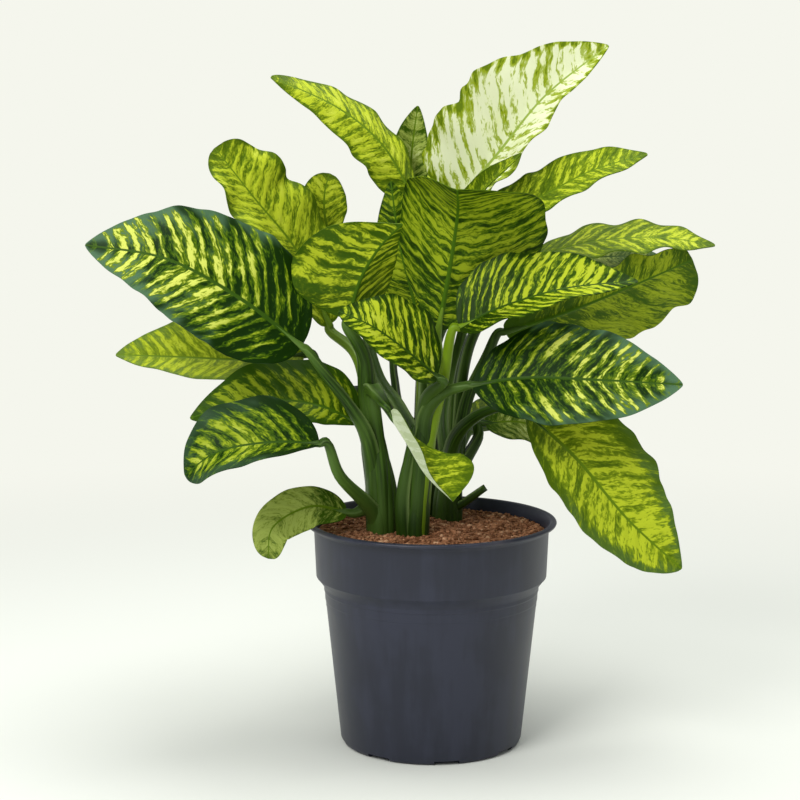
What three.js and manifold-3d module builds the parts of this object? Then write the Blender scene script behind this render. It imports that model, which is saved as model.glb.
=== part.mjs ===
// A potted dieffenbachia: a round nursery pot, its soil, four shoots with their leaf stalks, and the leaf blades.
// Millimetres, +Z up. The origin is the middle of the pot's underside, and the front of the plant faces -Y.
import * as THREE from "three";
import { mergeVertices } from "three/addons/utils/BufferGeometryUtils.js";
import Module from "manifold-3d";

const wasm = await Module();
wasm.setup();

// Pot: a common 24 cm grower's pot, with every radius measured on the outside
const POT_HEIGHT = 217;
const LIP_RADIUS = 120;
const LIP_BEAD = 4;
const LIP_ROUND = 1;
const COLLAR_TOP_RADIUS = 112.5;
const COLLAR_FOOT_RADIUS = 110.5;
const COLLAR_FOOT_Z = 163;
const COLLAR_ROUND = 1.5;
const SHOULDER_RADIUS = 103;
const SHOULDER_Z = 154;
const FOOT_RADIUS = 87.5;
const FOOT_CORNER = 5;
const INNER_CORNER = 3;
const WALL = 2.2;
const FLOOR = 3;
// Moulded rings below the shoulder: their height, and how far each stands out of the wall
const RINGS = [[149, 0.63], [140, 0.42], [134, 0.21]];
const POT_SIDES = 48;
const UNDERSIDE_RECESS = 1.5;
const FOOT_RING_INNER = 70;
const CENTRE_PAD_RADIUS = 26;
const RECESS_SLOPE = 2;
const DRAIN_HOLES = 8;
const DRAIN_HOLE_RADIUS = 6;
const DRAIN_HOLE_RING = 48;
const DRAIN_HOLE_SIDES = 12;
const DRAIN_SLOT = { long: 24, deep: 16, high: 4 };
const DRAIN_SLOT_RING = 86;
const FIRST_SLOT_ANGLE = -80;

// Soil: it fills the pot to just under the lip and rises a little to the middle
const SOIL_EDGE_Z = 205;
const SOIL_RISE = 4;
const SOIL_RINGS = [0, 40, 80];
const GAP = 0.4;

// Leaves
const BLADE_THICKNESS = 0.95;
const BLADE_BASE_HALF = 3.2;
const BLADE_TIP_HALF = 0.9;
const BLADE_ENDS = [0.55, 0.85];
const RIB_HALF = 3;
const RIB_DEPTH = 2.4;
const RIB_SHARE = 0.35;
const RIB_ROUND = 6;
const RIB_FADE = 0.8;
const WAVE_OFFSET = 0.3;
const BLADE_ROW = 19;
const BLADE_ROWS = [7, 13];
const BLADE_COLUMNS = [-1, -0.55, "rib", 0, "rib", 0.55, 1];
const STALK_SIDES = 6;
const STALK_STEPS = 7;
const STALK_LEAD = 8;
const STALK_RADIUS = [8, 3.6];
const OLD_STALK_STEPS = 3;
const CANE_SIDES = 10;
const CANE_STEPS = 6;

const POT_LOOK = { color: 0x3a3f4a, roughness: 0.5 };
const SOIL_LOOK = { color: 0x6b4030, roughness: 0.95 };
const SHOOT_LOOK = { color: 0x3f6b24, roughness: 0.5 };
const BLADE_ROUGHNESS = 0.4;
const GREEN = { dark: 0x24451f, mid: 0x4c7a1c, light: 0x86a426, cream: 0xc9d77c };

// Each shoot is a cane that stands in the soil: its path and its radius at the foot and at the top
const CANES = {
  left: { path: [[-48, -14, 120], [-48, -14, 215], [-51, -12, 275], [-60, -8, 350]], radius: [15, 7] },
  middle: { path: [[-17, -30, 120], [-17, -30, 215], [-12, -28, 270], [-8, -26, 330]], radius: [13.5, 7] },
  right: { path: [[15, 38, 120], [15, 38, 215], [17, 37, 250], [20, 34, 290]], radius: [15.5, 7] },
  back: { path: [[-6, 64, 120], [-6, 64, 215], [-5, 63, 300], [-3, 61, 420]], radius: [12, 6.5] },
};

// What is left of old stalks: a cut-off one at the foot of the right shoot, and sheaths that hug the canes
const OLD_STALKS = [
  { cane: "right", path: [[12, 36, 218], [28, 32, 225], [51, 28, 242]], radius: [6, 4] },
  { cane: "left", path: [[-37, -15, 220], [-38, -12, 265], [-45, -8, 320]], radius: [8, 5] },
  { cane: "middle", path: [[-27, -31, 220], [-31, -33, 258], [-25, -28, 310]], radius: [9, 5.5] },
  { cane: "middle", path: [[-10, -34, 217], [-2, -38, 262], [2, -36, 300]], radius: [7, 5] },
];

// Each leaf: the shoot that it grows from, the way of its stalk from inside the cane, the way of its midrib from
// the stalk to the tip, the direction that its upper face looks in at the base (up) and at the tip (tipUp), the
// width of the half on the left and on the right of a midrib that is followed to the tip with the upper face up,
// how far each half is folded up (degrees), how far the margin hangs (sag), its waves (height and number), and
// how slowly its outline opens at the base and closes at the tip (ends, and rightEnds for a right half that differs).
// A stalk that is thinner than the others has its own radius at the cane and at the blade (stalkRadius).
const LEAVES = [
  {
    name: "far_left", cane: "left", tone: "dark",
    stalk: [[-51, -14, 262], [-62, -28, 304], [-78, -40, 335], [-98, -46, 362]],
    rib: [[-120, -50, 389], [-174, -66, 434], [-240, -74, 471], [-316, -62, 483]],
    up: [0.2, -0.88, 0.42], width: [54, 64], fold: [8, 8], sag: 4, waves: [3, 3],
  },
  {
    name: "second_left", cane: "left", tone: "light",
    stalk: [[-55, -8, 283], [-64, 6, 310], [-86, 18, 337], [-108, 28, 357]],
    rib: [[-123, 32, 371], [-178, 32, 366], [-244, 28, 369], [-303, 20, 372]],
    up: [0, -0.7, 0.71], width: [32, 48], fold: [20, 20], sag: 2, waves: [2, 3],
  },
  {
    name: "third_left", cane: "left", tone: "mid",
    stalk: [[-51, -12, 268], [-58, -10, 292]],
    rib: [[-70, -10, 311], [-109, -20, 330], [-168, -30, 336], [-226, -34, 319]],
    up: [0, -0.66, 0.75], width: [32, 44], fold: [20, 20], sag: 3, waves: [2, 3],
    ends: [1.1, 0.85], rightEnds: [0.55, 0.85],
  },
  {
    name: "low_left_dome", cane: "left", tone: "dark",
    stalk: [[-51, -16, 222], [-64, -34, 241], [-85, -64, 271]],
    rib: [[-102, -85, 304], [-146, -98, 307], [-192, -108, 300], [-223, -106, 278]],
    up: [0, -0.67, 0.74], width: [43, 48], fold: [36, 20], sag: 5, waves: [2, 3],
    ends: [1.1, 0.6], rightEnds: [0.55, 0.75],
  },
  {
    name: "small_low_left", cane: "left", tone: "mid",
    stalk: [[-50, -14, 225], [-63, -22, 230]],
    rib: [[-80, -29, 229], [-114, -38, 236], [-148, -45, 218], [-153, -48, 188]],
    up: [-0.3, -0.7, 0.65], tipUp: [-0.6, -0.8, 0.1], width: [21, 23], fold: [8, 8], sag: 3, waves: [1.5, 2],
    ends: [0.55, 0.4],
  },
  {
    name: "upper_left", cane: "left", tone: "light",
    stalk: [[-59, -8, 344], [-73, 8, 376]],
    rib: [[-99, 30, 400], [-128, 29, 469], [-169, 22, 522], [-205, 16, 569]],
    up: [0.35, -0.62, 0.7], width: [48, 46], fold: [20, 20], sag: 0, waves: [5, 4], ends: [0.55, 0.4],
    stalkRadius: [6.5, 4.5],
  },
  {
    name: "striped_left", cane: "left", tone: "mid",
    stalk: [[-59, -8, 342], [-65, -18, 378]],
    rib: [[-77, -32, 412], [-66, -48, 450], [-48, -60, 481], [-27, -72, 503]],
    up: [-0.1, 0.95, 0.2], tipUp: [0, 0.75, 0.65], width: [38, 62], fold: [40, 6], sag: 3, waves: [2, 3],
    ends: [0.6, 1.15],
  },
  {
    name: "folded_front", cane: "left", tone: "light",
    stalk: [[-58, -11, 338], [-50, -46, 343]],
    rib: [[-38, -90, 334], [-21, -103, 308], [-4, -110, 280], [20, -112, 256]],
    up: [0.7, -0.5, 0.5], width: [42, 15], fold: [35, 78], sag: 0, waves: [1.5, 2], ends: [2.2, 0.35],
    rightEnds: [0.3, 1.1],
  },
  {
    name: "centre_front", cane: "middle", tone: "dark",
    stalk: [[-7, -27, 318], [-2, -44, 342]],
    rib: [[5, -68, 363], [-22, -82, 388], [-52, -92, 411], [-84, -94, 426]],
    up: [0.25, -0.62, 0.74], width: [41, 46], fold: [24, 20], sag: 2, waves: [2, 3],
    ends: [0.7, 0.85], rightEnds: [0.55, 0.85],
  },
  {
    name: "centre_tall", cane: "middle", tone: "mid",
    stalk: [[-7, -25, 310], [2, -18, 350], [5, -22, 378]],
    rib: [[6, -28, 402], [16, -36, 458], [23, -60, 511], [22, -120, 536]],
    up: [0, 0.95, 0.3], tipUp: [0, 0.35, 0.94], width: [84, 62], fold: [8, 40], sag: 3, waves: [2, 3],
    ends: [0.85, 0.7],
  },
  {
    name: "centre_behind", cane: "middle", tone: "dark",
    stalk: [[-6, -26, 322], [-6, -10, 362]],
    rib: [[-10, 0, 398], [-20, 4, 438], [-31, 10, 482], [-39, 14, 538]],
    up: [0, 0.9, 0.3], width: [32, 30], fold: [20, 20], sag: 0, waves: [2, 3],
  },
  {
    name: "right_yellow", cane: "middle", tone: "light",
    stalk: [[-8, -28, 290], [2, -31, 322], [11, -40, 360]],
    rib: [[25, -62, 408], [63, -67, 427], [121, -65, 444], [188, -54, 450]],
    up: [-0.1, -0.6, 0.8], width: [48, 40], fold: [28, 30], sag: 2, waves: [2, 3],
  },
  {
    name: "right_dark", cane: "middle", tone: "dark",
    stalk: [[-9, -28, 283], [-5, -36, 323], [10, -50, 345]],
    rib: [[38, -62, 355], [88, -80, 364], [154, -95, 364], [226, -95, 360]],
    up: [0, -0.84, 0.54], width: [52, 46], fold: [10, 10], sag: 4, waves: [3, 3], ends: [0.8, 0.85],
  },
  {
    name: "right_hanging", cane: "right", tone: "mid",
    stalk: [[14, 37, 248], [23, 22, 290], [41, -2, 316], [66, -24, 330]],
    rib: [[90, -40, 324], [133, -62, 287], [180, -78, 233], [230, -80, 187]],
    up: [0.3, -0.85, 0.4], width: [57, 42], fold: [12, 12], sag: 3, waves: [3, 4], ends: [0.7, 0.9],
    rightEnds: [0.85, 0.7],
  },
  {
    name: "right_pale", cane: "right", tone: "mid",
    stalk: [[20, 34, 280], [34, 36, 328], [53, 34, 370]],
    rib: [[70, 30, 394], [128, 22, 414], [186, 18, 438], [246, 12, 465]],
    up: [-0.3, 0.85, 0.4], width: [62, 27], fold: [8, 8], sag: 0, waves: [4, 4], ends: [0.5, 0.33],
  },
  {
    name: "right_low_behind", cane: "right", tone: "dark",
    stalk: [[17, 37, 244], [33, 37, 268], [45, 38, 290]],
    rib: [[52, 42, 303], [88, 46, 303], [128, 50, 288], [164, 54, 262]],
    up: [0, -0.6, 0.8], width: [34, 34], fold: [22, 22], sag: 2, waves: [2, 3],
  },
  {
    name: "right_level", cane: "right", tone: "mid",
    stalk: [[20, 34, 284], [27, 42, 336], [39, 52, 386], [70, 50, 438]],
    rib: [[98, 40, 465], [152, 30, 480], [212, 20, 485], [267, 12, 478]],
    up: [0, -0.28, 0.96], width: [42, 40], fold: [5, 5], sag: 2, waves: [2.5, 4],
    ends: [0.55, 0.7],
  },
  {
    name: "top_left_long", cane: "back", tone: "light",
    stalk: [[-4, 62, 400], [-6, 56, 450], [-10, 46, 490]],
    rib: [[-16, 40, 518], [-46, 28, 570], [-88, 14, 606], [-150, 0, 635]],
    up: [0.45, -0.7, 0.55], width: [28, 36], fold: [-22, -22], sag: 0, waves: [2, 4],
    ends: [0.45, 0.85], rightEnds: [0.55, 0.75],
  },
  {
    name: "top_right_bright", cane: "back", tone: "cream",
    stalk: [[-3, 61, 405], [4, 58, 460]],
    rib: [[20, 50, 514], [60, 42, 560], [106, 30, 617], [164, 15, 664]],
    up: [-0.4, -0.8, 0.4], width: [68, 46], fold: [35, 35], sag: 0, waves: [4, 4], ends: [0.42, 0.8],
    rightEnds: [0.55, 0.8],
  },
  {
    name: "small_rolled", cane: "back", tone: "mid",
    stalk: [[-3, 61, 412], [8, 26, 462], [20, 0, 492]],
    rib: [[29, -14, 510], [43, -17, 527], [60, -20, 545], [82, -22, 565]],
    up: [-0.5, -0.7, 0.5], width: [14, 14], fold: [50, 50], sag: 0, waves: [0.5, 2],
  },
  {
    name: "right_upper", cane: "back", tone: "light",
    stalk: [[-3, 61, 392], [12, 46, 446], [30, 24, 490]],
    rib: [[48, 12, 511], [96, 6, 522], [148, 0, 548], [200, -5, 564]],
    up: [-0.3, -0.55, 0.78], width: [30, 31], fold: [15, 15], sag: 0, waves: [2, 4],
    ends: [0.65, 0.8],
  },
  {
    name: "right_behind", cane: "back", tone: "dark",
    stalk: [[-3, 61, 376], [30, 78, 420], [70, 82, 444]],
    rib: [[106, 80, 452], [142, 78, 460], [186, 74, 463], [226, 70, 461]],
    up: [0, -0.6, 0.8], width: [22, 24], fold: [10, 10], sag: 0, waves: [1.5, 3],
  },
  {
    name: "small_behind_left", cane: "back", tone: "light",
    stalk: [[-5, 63, 284], [-31, 66, 314], [-37, 70, 345], [-42, 74, 382], [-66, 80, 434]],
    rib: [[-100, 84, 480], [-105, 84, 502], [-105, 82, 524], [-100, 80, 543]],
    up: [0, -0.9, 0.4], width: [20, 21], fold: [10, 10], sag: 0, waves: [1, 2], ends: [0.6, 0.5],
    stalkRadius: [5, 2.2],
  },
  {
    name: "young_top", cane: "back", tone: "mid",
    stalk: [[-3, 61, 412], [-17, 74, 472]],
    rib: [[-22, 80, 522], [-21, 80, 550], [-18, 76, 580], [-14, 70, 608]],
    up: [0, -0.9, 0.4], width: [20, 17], fold: [25, 25], sag: 0, waves: [1, 2],
  },
  {
    name: "back_left", cane: "middle", tone: "mid",
    stalk: [[-11, -27, 282], [-32, 8, 321], [-51, 38, 346], [-63, 68, 385]],
    rib: [[-66, 86, 408], [-98, 118, 434], [-138, 150, 442], [-180, 182, 424]],
    up: [-0.2, -0.1, 0.95], width: [46, 46], fold: [14, 14], sag: 5, waves: [3, 3],
  },
  {
    name: "back_middle", cane: "back", tone: "light",
    stalk: [[-4, 62, 352], [-10, 86, 402]],
    rib: [[-14, 108, 430], [-18, 146, 452], [-22, 194, 450], [-26, 240, 420]],
    up: [0, -0.1, 0.95], width: [50, 50], fold: [14, 14], sag: 5, waves: [3, 3],
  },
  {
    name: "back_right", cane: "right", tone: "dark",
    stalk: [[16, 37, 258], [13, 56, 306], [24, 82, 360]],
    rib: [[44, 104, 418], [84, 128, 440], [130, 154, 440], [176, 178, 416]],
    up: [0.1, 0, 0.95], width: [46, 46], fold: [14, 14], sag: 5, waves: [3, 3],
  },
  {
    name: "back_low_left", cane: "left", tone: "dark",
    stalk: [[-50, -13, 250], [-58, 14, 272], [-64, 46, 288]],
    rib: [[-72, 78, 298], [-98, 108, 318], [-130, 140, 318], [-162, 170, 290]],
    up: [-0.1, 0, 0.95], width: [38, 38], fold: [14, 14], sag: 5, waves: [3, 3],
  },
  {
    name: "back_high", cane: "back", tone: "light",
    stalk: [[-3, 61, 398], [-2, 76, 452]],
    rib: [[2, 92, 496], [10, 118, 534], [20, 156, 556], [34, 206, 556]],
    up: [0, -0.3, 0.9], width: [44, 46], fold: [14, 14], sag: 4, waves: [3, 3],
  },
  {
    name: "back_low_right", cane: "right", tone: "mid",
    stalk: [[15, 38, 240], [24, 66, 266]],
    rib: [[40, 98, 286], [70, 130, 300], [104, 162, 296], [138, 192, 266]],
    up: [0.1, 0, 0.95], width: [38, 38], fold: [14, 14], sag: 5, waves: [3, 3],
  },
];

const vector = (p) => new THREE.Vector3(...p);
const curveThrough = (points) => new THREE.CatmullRomCurve3(points.map(vector), false, "catmullrom", 0.5);

// A finished geometry as a solid, and a solid as a geometry
function solidOf(geometry) {
  geometry.deleteAttribute("normal");
  geometry.deleteAttribute("uv");
  const merged = mergeVertices(geometry, 1e-3);
  return new wasm.Manifold(
    new wasm.Mesh({
      numProp: 3,
      vertProperties: merged.attributes.position.array,
      triVerts: new Uint32Array(merged.index.array),
    }),
  );
}

function geometryOf(solid) {
  const mesh = solid.getMesh();
  return new THREE.BufferGeometry()
    .setAttribute("position", new THREE.BufferAttribute(mesh.vertProperties, 3))
    .setIndex(new THREE.BufferAttribute(mesh.triVerts, 1));
}

// A shape turned round the Z axis from a closed outline of [radius, z] points
function turned(outline, sides) {
  const points = outline.map(([radius, z]) => new THREE.Vector2(radius, z));
  return new THREE.LatheGeometry(points, sides).rotateX(Math.PI / 2);
}

// Pot
function potOutline() {
  const top = POT_HEIGHT;
  const bead = LIP_BEAD;
  const collarTop = top - 2 * bead;
  const outside = [
    [LIP_RADIUS - bead, top],
    [LIP_RADIUS - LIP_ROUND, top - LIP_ROUND / 2],
    [LIP_RADIUS, top - bead / 2],
    [LIP_RADIUS - LIP_ROUND, top - bead],
    [COLLAR_TOP_RADIUS + COLLAR_ROUND, top - bead - LIP_ROUND],
    [COLLAR_TOP_RADIUS, collarTop],
    [COLLAR_FOOT_RADIUS, COLLAR_FOOT_Z],
    [COLLAR_FOOT_RADIUS - COLLAR_ROUND, COLLAR_FOOT_Z - COLLAR_ROUND],
    [SHOULDER_RADIUS + COLLAR_ROUND, SHOULDER_Z + COLLAR_ROUND],
    [SHOULDER_RADIUS, SHOULDER_Z - COLLAR_ROUND],
  ];
  const taper = (SHOULDER_RADIUS - FOOT_RADIUS) / (SHOULDER_Z - FOOT_CORNER);
  const wallRadius = (z) => FOOT_RADIUS + taper * (z - FOOT_CORNER);
  for (const [z, proud] of RINGS) {
    outside.push([wallRadius(z) + proud, z], [wallRadius(z - 1), z - 1]);
  }
  outside.push(
    [FOOT_RADIUS, FOOT_CORNER],
    [FOOT_RADIUS - FOOT_CORNER * 0.3, FOOT_CORNER * 0.3],
    [FOOT_RADIUS - FOOT_CORNER * 0.8, 0],
  );
  const underside = [
    [FOOT_RING_INNER, 0],
    [FOOT_RING_INNER - RECESS_SLOPE, UNDERSIDE_RECESS],
    [CENTRE_PAD_RADIUS + RECESS_SLOPE, UNDERSIDE_RECESS],
    [CENTRE_PAD_RADIUS, 0],
    [0, 0],
  ];
  const floor = FLOOR + UNDERSIDE_RECESS;
  const inside = [
    [0, floor],
    [FOOT_RADIUS - WALL - INNER_CORNER, floor],
    [FOOT_RADIUS - WALL, floor + INNER_CORNER],
    [SHOULDER_RADIUS - WALL, SHOULDER_Z],
    [COLLAR_FOOT_RADIUS - WALL, COLLAR_FOOT_Z + WALL],
    [COLLAR_TOP_RADIUS - WALL, collarTop],
    [LIP_RADIUS - bead - WALL, top - LIP_ROUND],
    [LIP_RADIUS - bead, top],
  ];
  return [...outside, ...underside, ...inside].reverse();
}

function makePot() {
  let pot = solidOf(turned(potOutline(), POT_SIDES));
  for (let i = 0; i < DRAIN_HOLES; i += 1) {
    const angle = THREE.MathUtils.degToRad(FIRST_SLOT_ANGLE + (360 * i) / DRAIN_HOLES);
    const hole = new THREE.CylinderGeometry(DRAIN_HOLE_RADIUS, DRAIN_HOLE_RADIUS, 4 * FLOOR, DRAIN_HOLE_SIDES)
      .rotateX(Math.PI / 2)
      .translate(DRAIN_HOLE_RING, 0, 0)
      .rotateZ(angle);
    const slot = new THREE.BoxGeometry(DRAIN_SLOT.deep, DRAIN_SLOT.long, 2 * DRAIN_SLOT.high)
      .translate(DRAIN_SLOT_RING, 0, 0)
      .rotateZ(angle);
    pot = pot.subtract(solidOf(hole)).subtract(solidOf(slot));
  }
  return pot;
}

// A round stem that follows a curve, from a straight cylinder whose rings are carried along it
function stem(path, radii, sides, steps, grow = 0) {
  const curve = curveThrough(path);
  const start = curve.getPoint(0);
  const end = curve.getPoint(1);
  const across = new THREE.Vector3(start.y - end.y, end.x - start.x, 0);
  if (across.length() < 1) across.set(0, 1, 0);
  const geometry = new THREE.CylinderGeometry(1, 1, 1, sides, steps);
  const position = geometry.attributes.position;
  const local = new THREE.Vector3();
  for (let i = 0; i < position.count; i += 1) {
    local.fromBufferAttribute(position, i);
    const t = local.y + 0.5;
    const along = curve.getTangent(t);
    const side = across.clone().addScaledVector(along, -across.dot(along)).normalize();
    const front = new THREE.Vector3().crossVectors(along, side);
    const radius = THREE.MathUtils.lerp(radii[0], radii[1], t) + grow;
    const point = curve.getPoint(t);
    point.addScaledVector(front, local.x * radius).addScaledVector(side, local.z * radius);
    position.setXYZ(i, point.x, point.y, point.z);
  }
  return solidOf(geometry);
}

// Soil, with a plain hole for each cane
function makeSoil() {
  const floor = FLOOR + UNDERSIDE_RECESS + GAP;
  const inner = (radius) => radius - WALL - 2 * GAP;
  const edge = inner(COLLAR_TOP_RADIUS);
  const outline = [
    ...SOIL_RINGS.map((radius) => [radius, SOIL_EDGE_Z + SOIL_RISE * (1 - (radius / edge) ** 2)]),
    [edge, SOIL_EDGE_Z],
    [inner(COLLAR_FOOT_RADIUS), COLLAR_FOOT_Z + WALL],
    [inner(SHOULDER_RADIUS), SHOULDER_Z],
    [inner(FOOT_RADIUS), floor + INNER_CORNER],
    [inner(FOOT_RADIUS) - INNER_CORNER, floor],
    [0, floor],
  ];
  let soil = solidOf(turned(outline.reverse(), POT_SIDES));
  for (const cane of Object.values(CANES)) {
    soil = soil.subtract(stem(cane.path, cane.radius, CANE_SIDES, CANE_STEPS, GAP));
  }
  return soil;
}

// Leaf blade: outline 0 at the stalk and at the tip, and 1 where the leaf is widest
function outlineAt(s, [base, tip]) {
  const widest = base / (base + tip);
  return (s ** base * (1 - s) ** tip) / (widest ** base * (1 - widest) ** tip);
}

// Where a point of the blade lies: s runs from 0 at the stalk to 1 at the tip, v from -1 to 1 across,
// and face is 1 on the upper side and -1 on the underside, which carries the raised midrib
function bladePoint(leaf, curve, s, column, face) {
  const along = curve.getTangent(s);
  const up = vector(leaf.up).lerp(vector(leaf.tipUp ?? leaf.up), s);
  up.addScaledVector(along, -up.dot(along)).normalize();
  const right = new THREE.Vector3().crossVectors(along, up);
  const { side, v } = column;
  const half = side < 0 ? 0 : 1;
  const ends = leaf.ends ?? BLADE_ENDS;
  const fullness = outlineAt(s, half === 1 ? (leaf.rightEnds ?? ends) : ends);
  const width = leaf.width[half] * fullness + BLADE_BASE_HALF * (1 - s) + BLADE_TIP_HALF * s;
  const reach = v === "rib" ? Math.min(RIB_HALF, width * RIB_SHARE) : v * width;
  const fold = THREE.MathUtils.degToRad(leaf.fold[half]);
  const share = reach / width;
  const rounded = Math.hypot(reach, RIB_ROUND);
  const [waveHeight, waveCount] = leaf.waves;
  const turn = 2 * Math.PI * (waveCount * s + WAVE_OFFSET * half);
  const wave = waveHeight * fullness * share ** 2 * Math.sin(turn);
  const height = Math.sin(fold) * (rounded - RIB_ROUND) - leaf.sag * share ** 2 * fullness + wave;
  const tilt = (Math.sin(fold) * reach) / rounded;
  const normal = up.clone().multiplyScalar(Math.cos(fold)).addScaledVector(right, -side * tilt).normalize();
  const keel = v === 0 && face < 0 ? RIB_DEPTH * (1 - RIB_FADE * s) : 0;
  return curve
    .getPoint(s)
    .addScaledVector(right, side * reach * Math.cos(fold))
    .addScaledVector(up, height)
    .addScaledVector(normal, face * (BLADE_THICKNESS / 2) - keel);
}

// A closed sheet: the upper and lower grids are split into the same triangles, and a rim joins them
function makeBlade(leaf) {
  const curve = curveThrough(leaf.rib);
  const rows = Math.round(THREE.MathUtils.clamp(curve.getLength() / BLADE_ROW, ...BLADE_ROWS));
  const middle = (BLADE_COLUMNS.length - 1) / 2;
  const columns = BLADE_COLUMNS.map((v, i) => ({
    side: Math.sign(i - middle) || 1,
    v: v === "rib" ? v : Math.abs(v),
  }));
  const across = columns.length;
  const points = [];
  for (const face of [1, -1]) {
    for (let i = 0; i <= rows; i += 1) {
      const even = i / rows;
      const s = 0.5 * even + 0.25 * (1 - Math.cos(Math.PI * even));
      for (const column of columns) points.push(...bladePoint(leaf, curve, s, column, face).toArray());
    }
  }
  const at = (face, row, column) => (face * (rows + 1) + row) * across + column;
  const triangles = [];
  for (let i = 0; i < rows; i += 1) {
    for (let j = 0; j + 1 < across; j += 1) {
      const leftHalf = j < middle;
      for (const face of [0, 1]) {
        const [a, b, c, d] = [at(face, i, j), at(face, i, j + 1), at(face, i + 1, j + 1), at(face, i + 1, j)];
        const pair = leftHalf ? [[a, b, d], [b, c, d]] : [[a, b, c], [a, c, d]];
        for (const t of pair) triangles.push(...(face === 0 ? t : [t[0], t[2], t[1]]));
      }
    }
    for (const j of [0, across - 1]) {
      const [a, b, c, d] = [at(0, i, j), at(0, i + 1, j), at(1, i + 1, j), at(1, i, j)];
      triangles.push(...(j === 0 ? [a, b, c, a, c, d] : [a, c, b, a, d, c]));
    }
  }
  for (let j = 0; j + 1 < across; j += 1) {
    for (const i of [0, rows]) {
      const [a, b, c, d] = [at(0, i, j), at(0, i, j + 1), at(1, i, j + 1), at(1, i, j)];
      triangles.push(...(i === 0 ? [a, c, b, a, d, c] : [a, b, c, a, c, d]));
    }
  }
  return new THREE.BufferGeometry()
    .setAttribute("position", new THREE.Float32BufferAttribute(points, 3))
    .setIndex(triangles);
}

// A shoot: its cane with the stalk of each of its leaves grown into it
function makeShoot(name) {
  const cane = CANES[name];
  let shoot = stem(cane.path, cane.radius, CANE_SIDES, CANE_STEPS);
  for (const leaf of LEAVES.filter((one) => one.cane === name)) {
    const base = vector(leaf.rib[0]);
    const along = curveThrough(leaf.rib).getTangent(0);
    const before = base.clone().addScaledVector(along, -STALK_LEAD).toArray();
    const end = base.clone().addScaledVector(along, -GAP).toArray();
    const path = [...leaf.stalk, before, end];
    shoot = shoot.add(stem(path, leaf.stalkRadius ?? STALK_RADIUS, STALK_SIDES, STALK_STEPS));
  }
  for (const old of OLD_STALKS.filter((one) => one.cane === name)) {
    shoot = shoot.add(stem(old.path, old.radius, STALK_SIDES, OLD_STALK_STEPS));
  }
  return shoot;
}

const plant = new THREE.Group();

function place(name, geometry, look) {
  const mesh = new THREE.Mesh(geometry, new THREE.MeshStandardMaterial({ ...look, metalness: 0 }));
  mesh.name = name;
  plant.add(mesh);
}

place("pot", geometryOf(makePot()), POT_LOOK);
place("soil", geometryOf(makeSoil()), SOIL_LOOK);
for (const name of Object.keys(CANES)) {
  place("shoot_" + name, geometryOf(makeShoot(name)), SHOOT_LOOK);
}
for (const leaf of LEAVES) {
  place("leaf_" + leaf.name, makeBlade(leaf), { color: GREEN[leaf.tone], roughness: BLADE_ROUGHNESS });
}

export default plant;
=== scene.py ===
# %% [markdown]
# Potted dieffenbachia
#
# A dieffenbachia is a house plant with thick upright canes. Each leaf has a long stalk, the petiole, whose
# foot wraps round the cane as a sheath, and a large oval blade that is green at its edge and streaked with
# yellow and cream between its side veins. This script dresses the construction model of such a plant in its
# nursery pot. The model is loaded first, as a fixed frame that says where every leaf and shoot, the pot and
# the soil are.

# %% Load the frame
import math
import random

import bpy
import bmesh
from mathutils import Matrix, Vector, noise


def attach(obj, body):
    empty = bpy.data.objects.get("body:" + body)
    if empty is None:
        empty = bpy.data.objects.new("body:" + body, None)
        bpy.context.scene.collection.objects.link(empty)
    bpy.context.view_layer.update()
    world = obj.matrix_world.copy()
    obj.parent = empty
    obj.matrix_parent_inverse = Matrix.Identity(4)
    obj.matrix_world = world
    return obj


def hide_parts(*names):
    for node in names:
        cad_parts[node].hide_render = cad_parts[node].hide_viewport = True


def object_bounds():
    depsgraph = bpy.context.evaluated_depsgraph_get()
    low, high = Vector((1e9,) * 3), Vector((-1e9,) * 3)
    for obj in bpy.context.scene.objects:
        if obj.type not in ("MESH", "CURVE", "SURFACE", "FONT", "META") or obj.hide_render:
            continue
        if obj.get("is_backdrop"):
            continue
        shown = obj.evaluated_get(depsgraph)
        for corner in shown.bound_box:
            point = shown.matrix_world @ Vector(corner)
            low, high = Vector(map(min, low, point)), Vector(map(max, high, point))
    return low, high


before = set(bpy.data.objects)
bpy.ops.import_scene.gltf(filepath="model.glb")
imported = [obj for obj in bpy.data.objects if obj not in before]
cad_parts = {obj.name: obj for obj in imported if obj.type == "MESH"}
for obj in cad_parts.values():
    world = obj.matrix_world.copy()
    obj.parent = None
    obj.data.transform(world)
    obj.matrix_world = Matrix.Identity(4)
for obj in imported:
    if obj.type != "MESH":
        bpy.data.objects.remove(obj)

model_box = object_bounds()
print("the construction model has", len(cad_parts), "nodes")
print("it reaches", [round(x, 3) for x in model_box[1]])

# %% [markdown]
# Units and curves
#
# The frame is in metres, but plant sizes are easier to read in millimetres, so the tables below hold
# millimetres and MM turns them into metres. Every midrib and stalk follows a smooth curve through a few
# points. Blender's own curve objects could do that, but the blades need the point and the direction
# anywhere along the curve, so a small class works out the same curve that the construction model uses. It
# passes each point in the direction from the point before to the point after.

# %% A smooth curve through points
MM = 0.001


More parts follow.
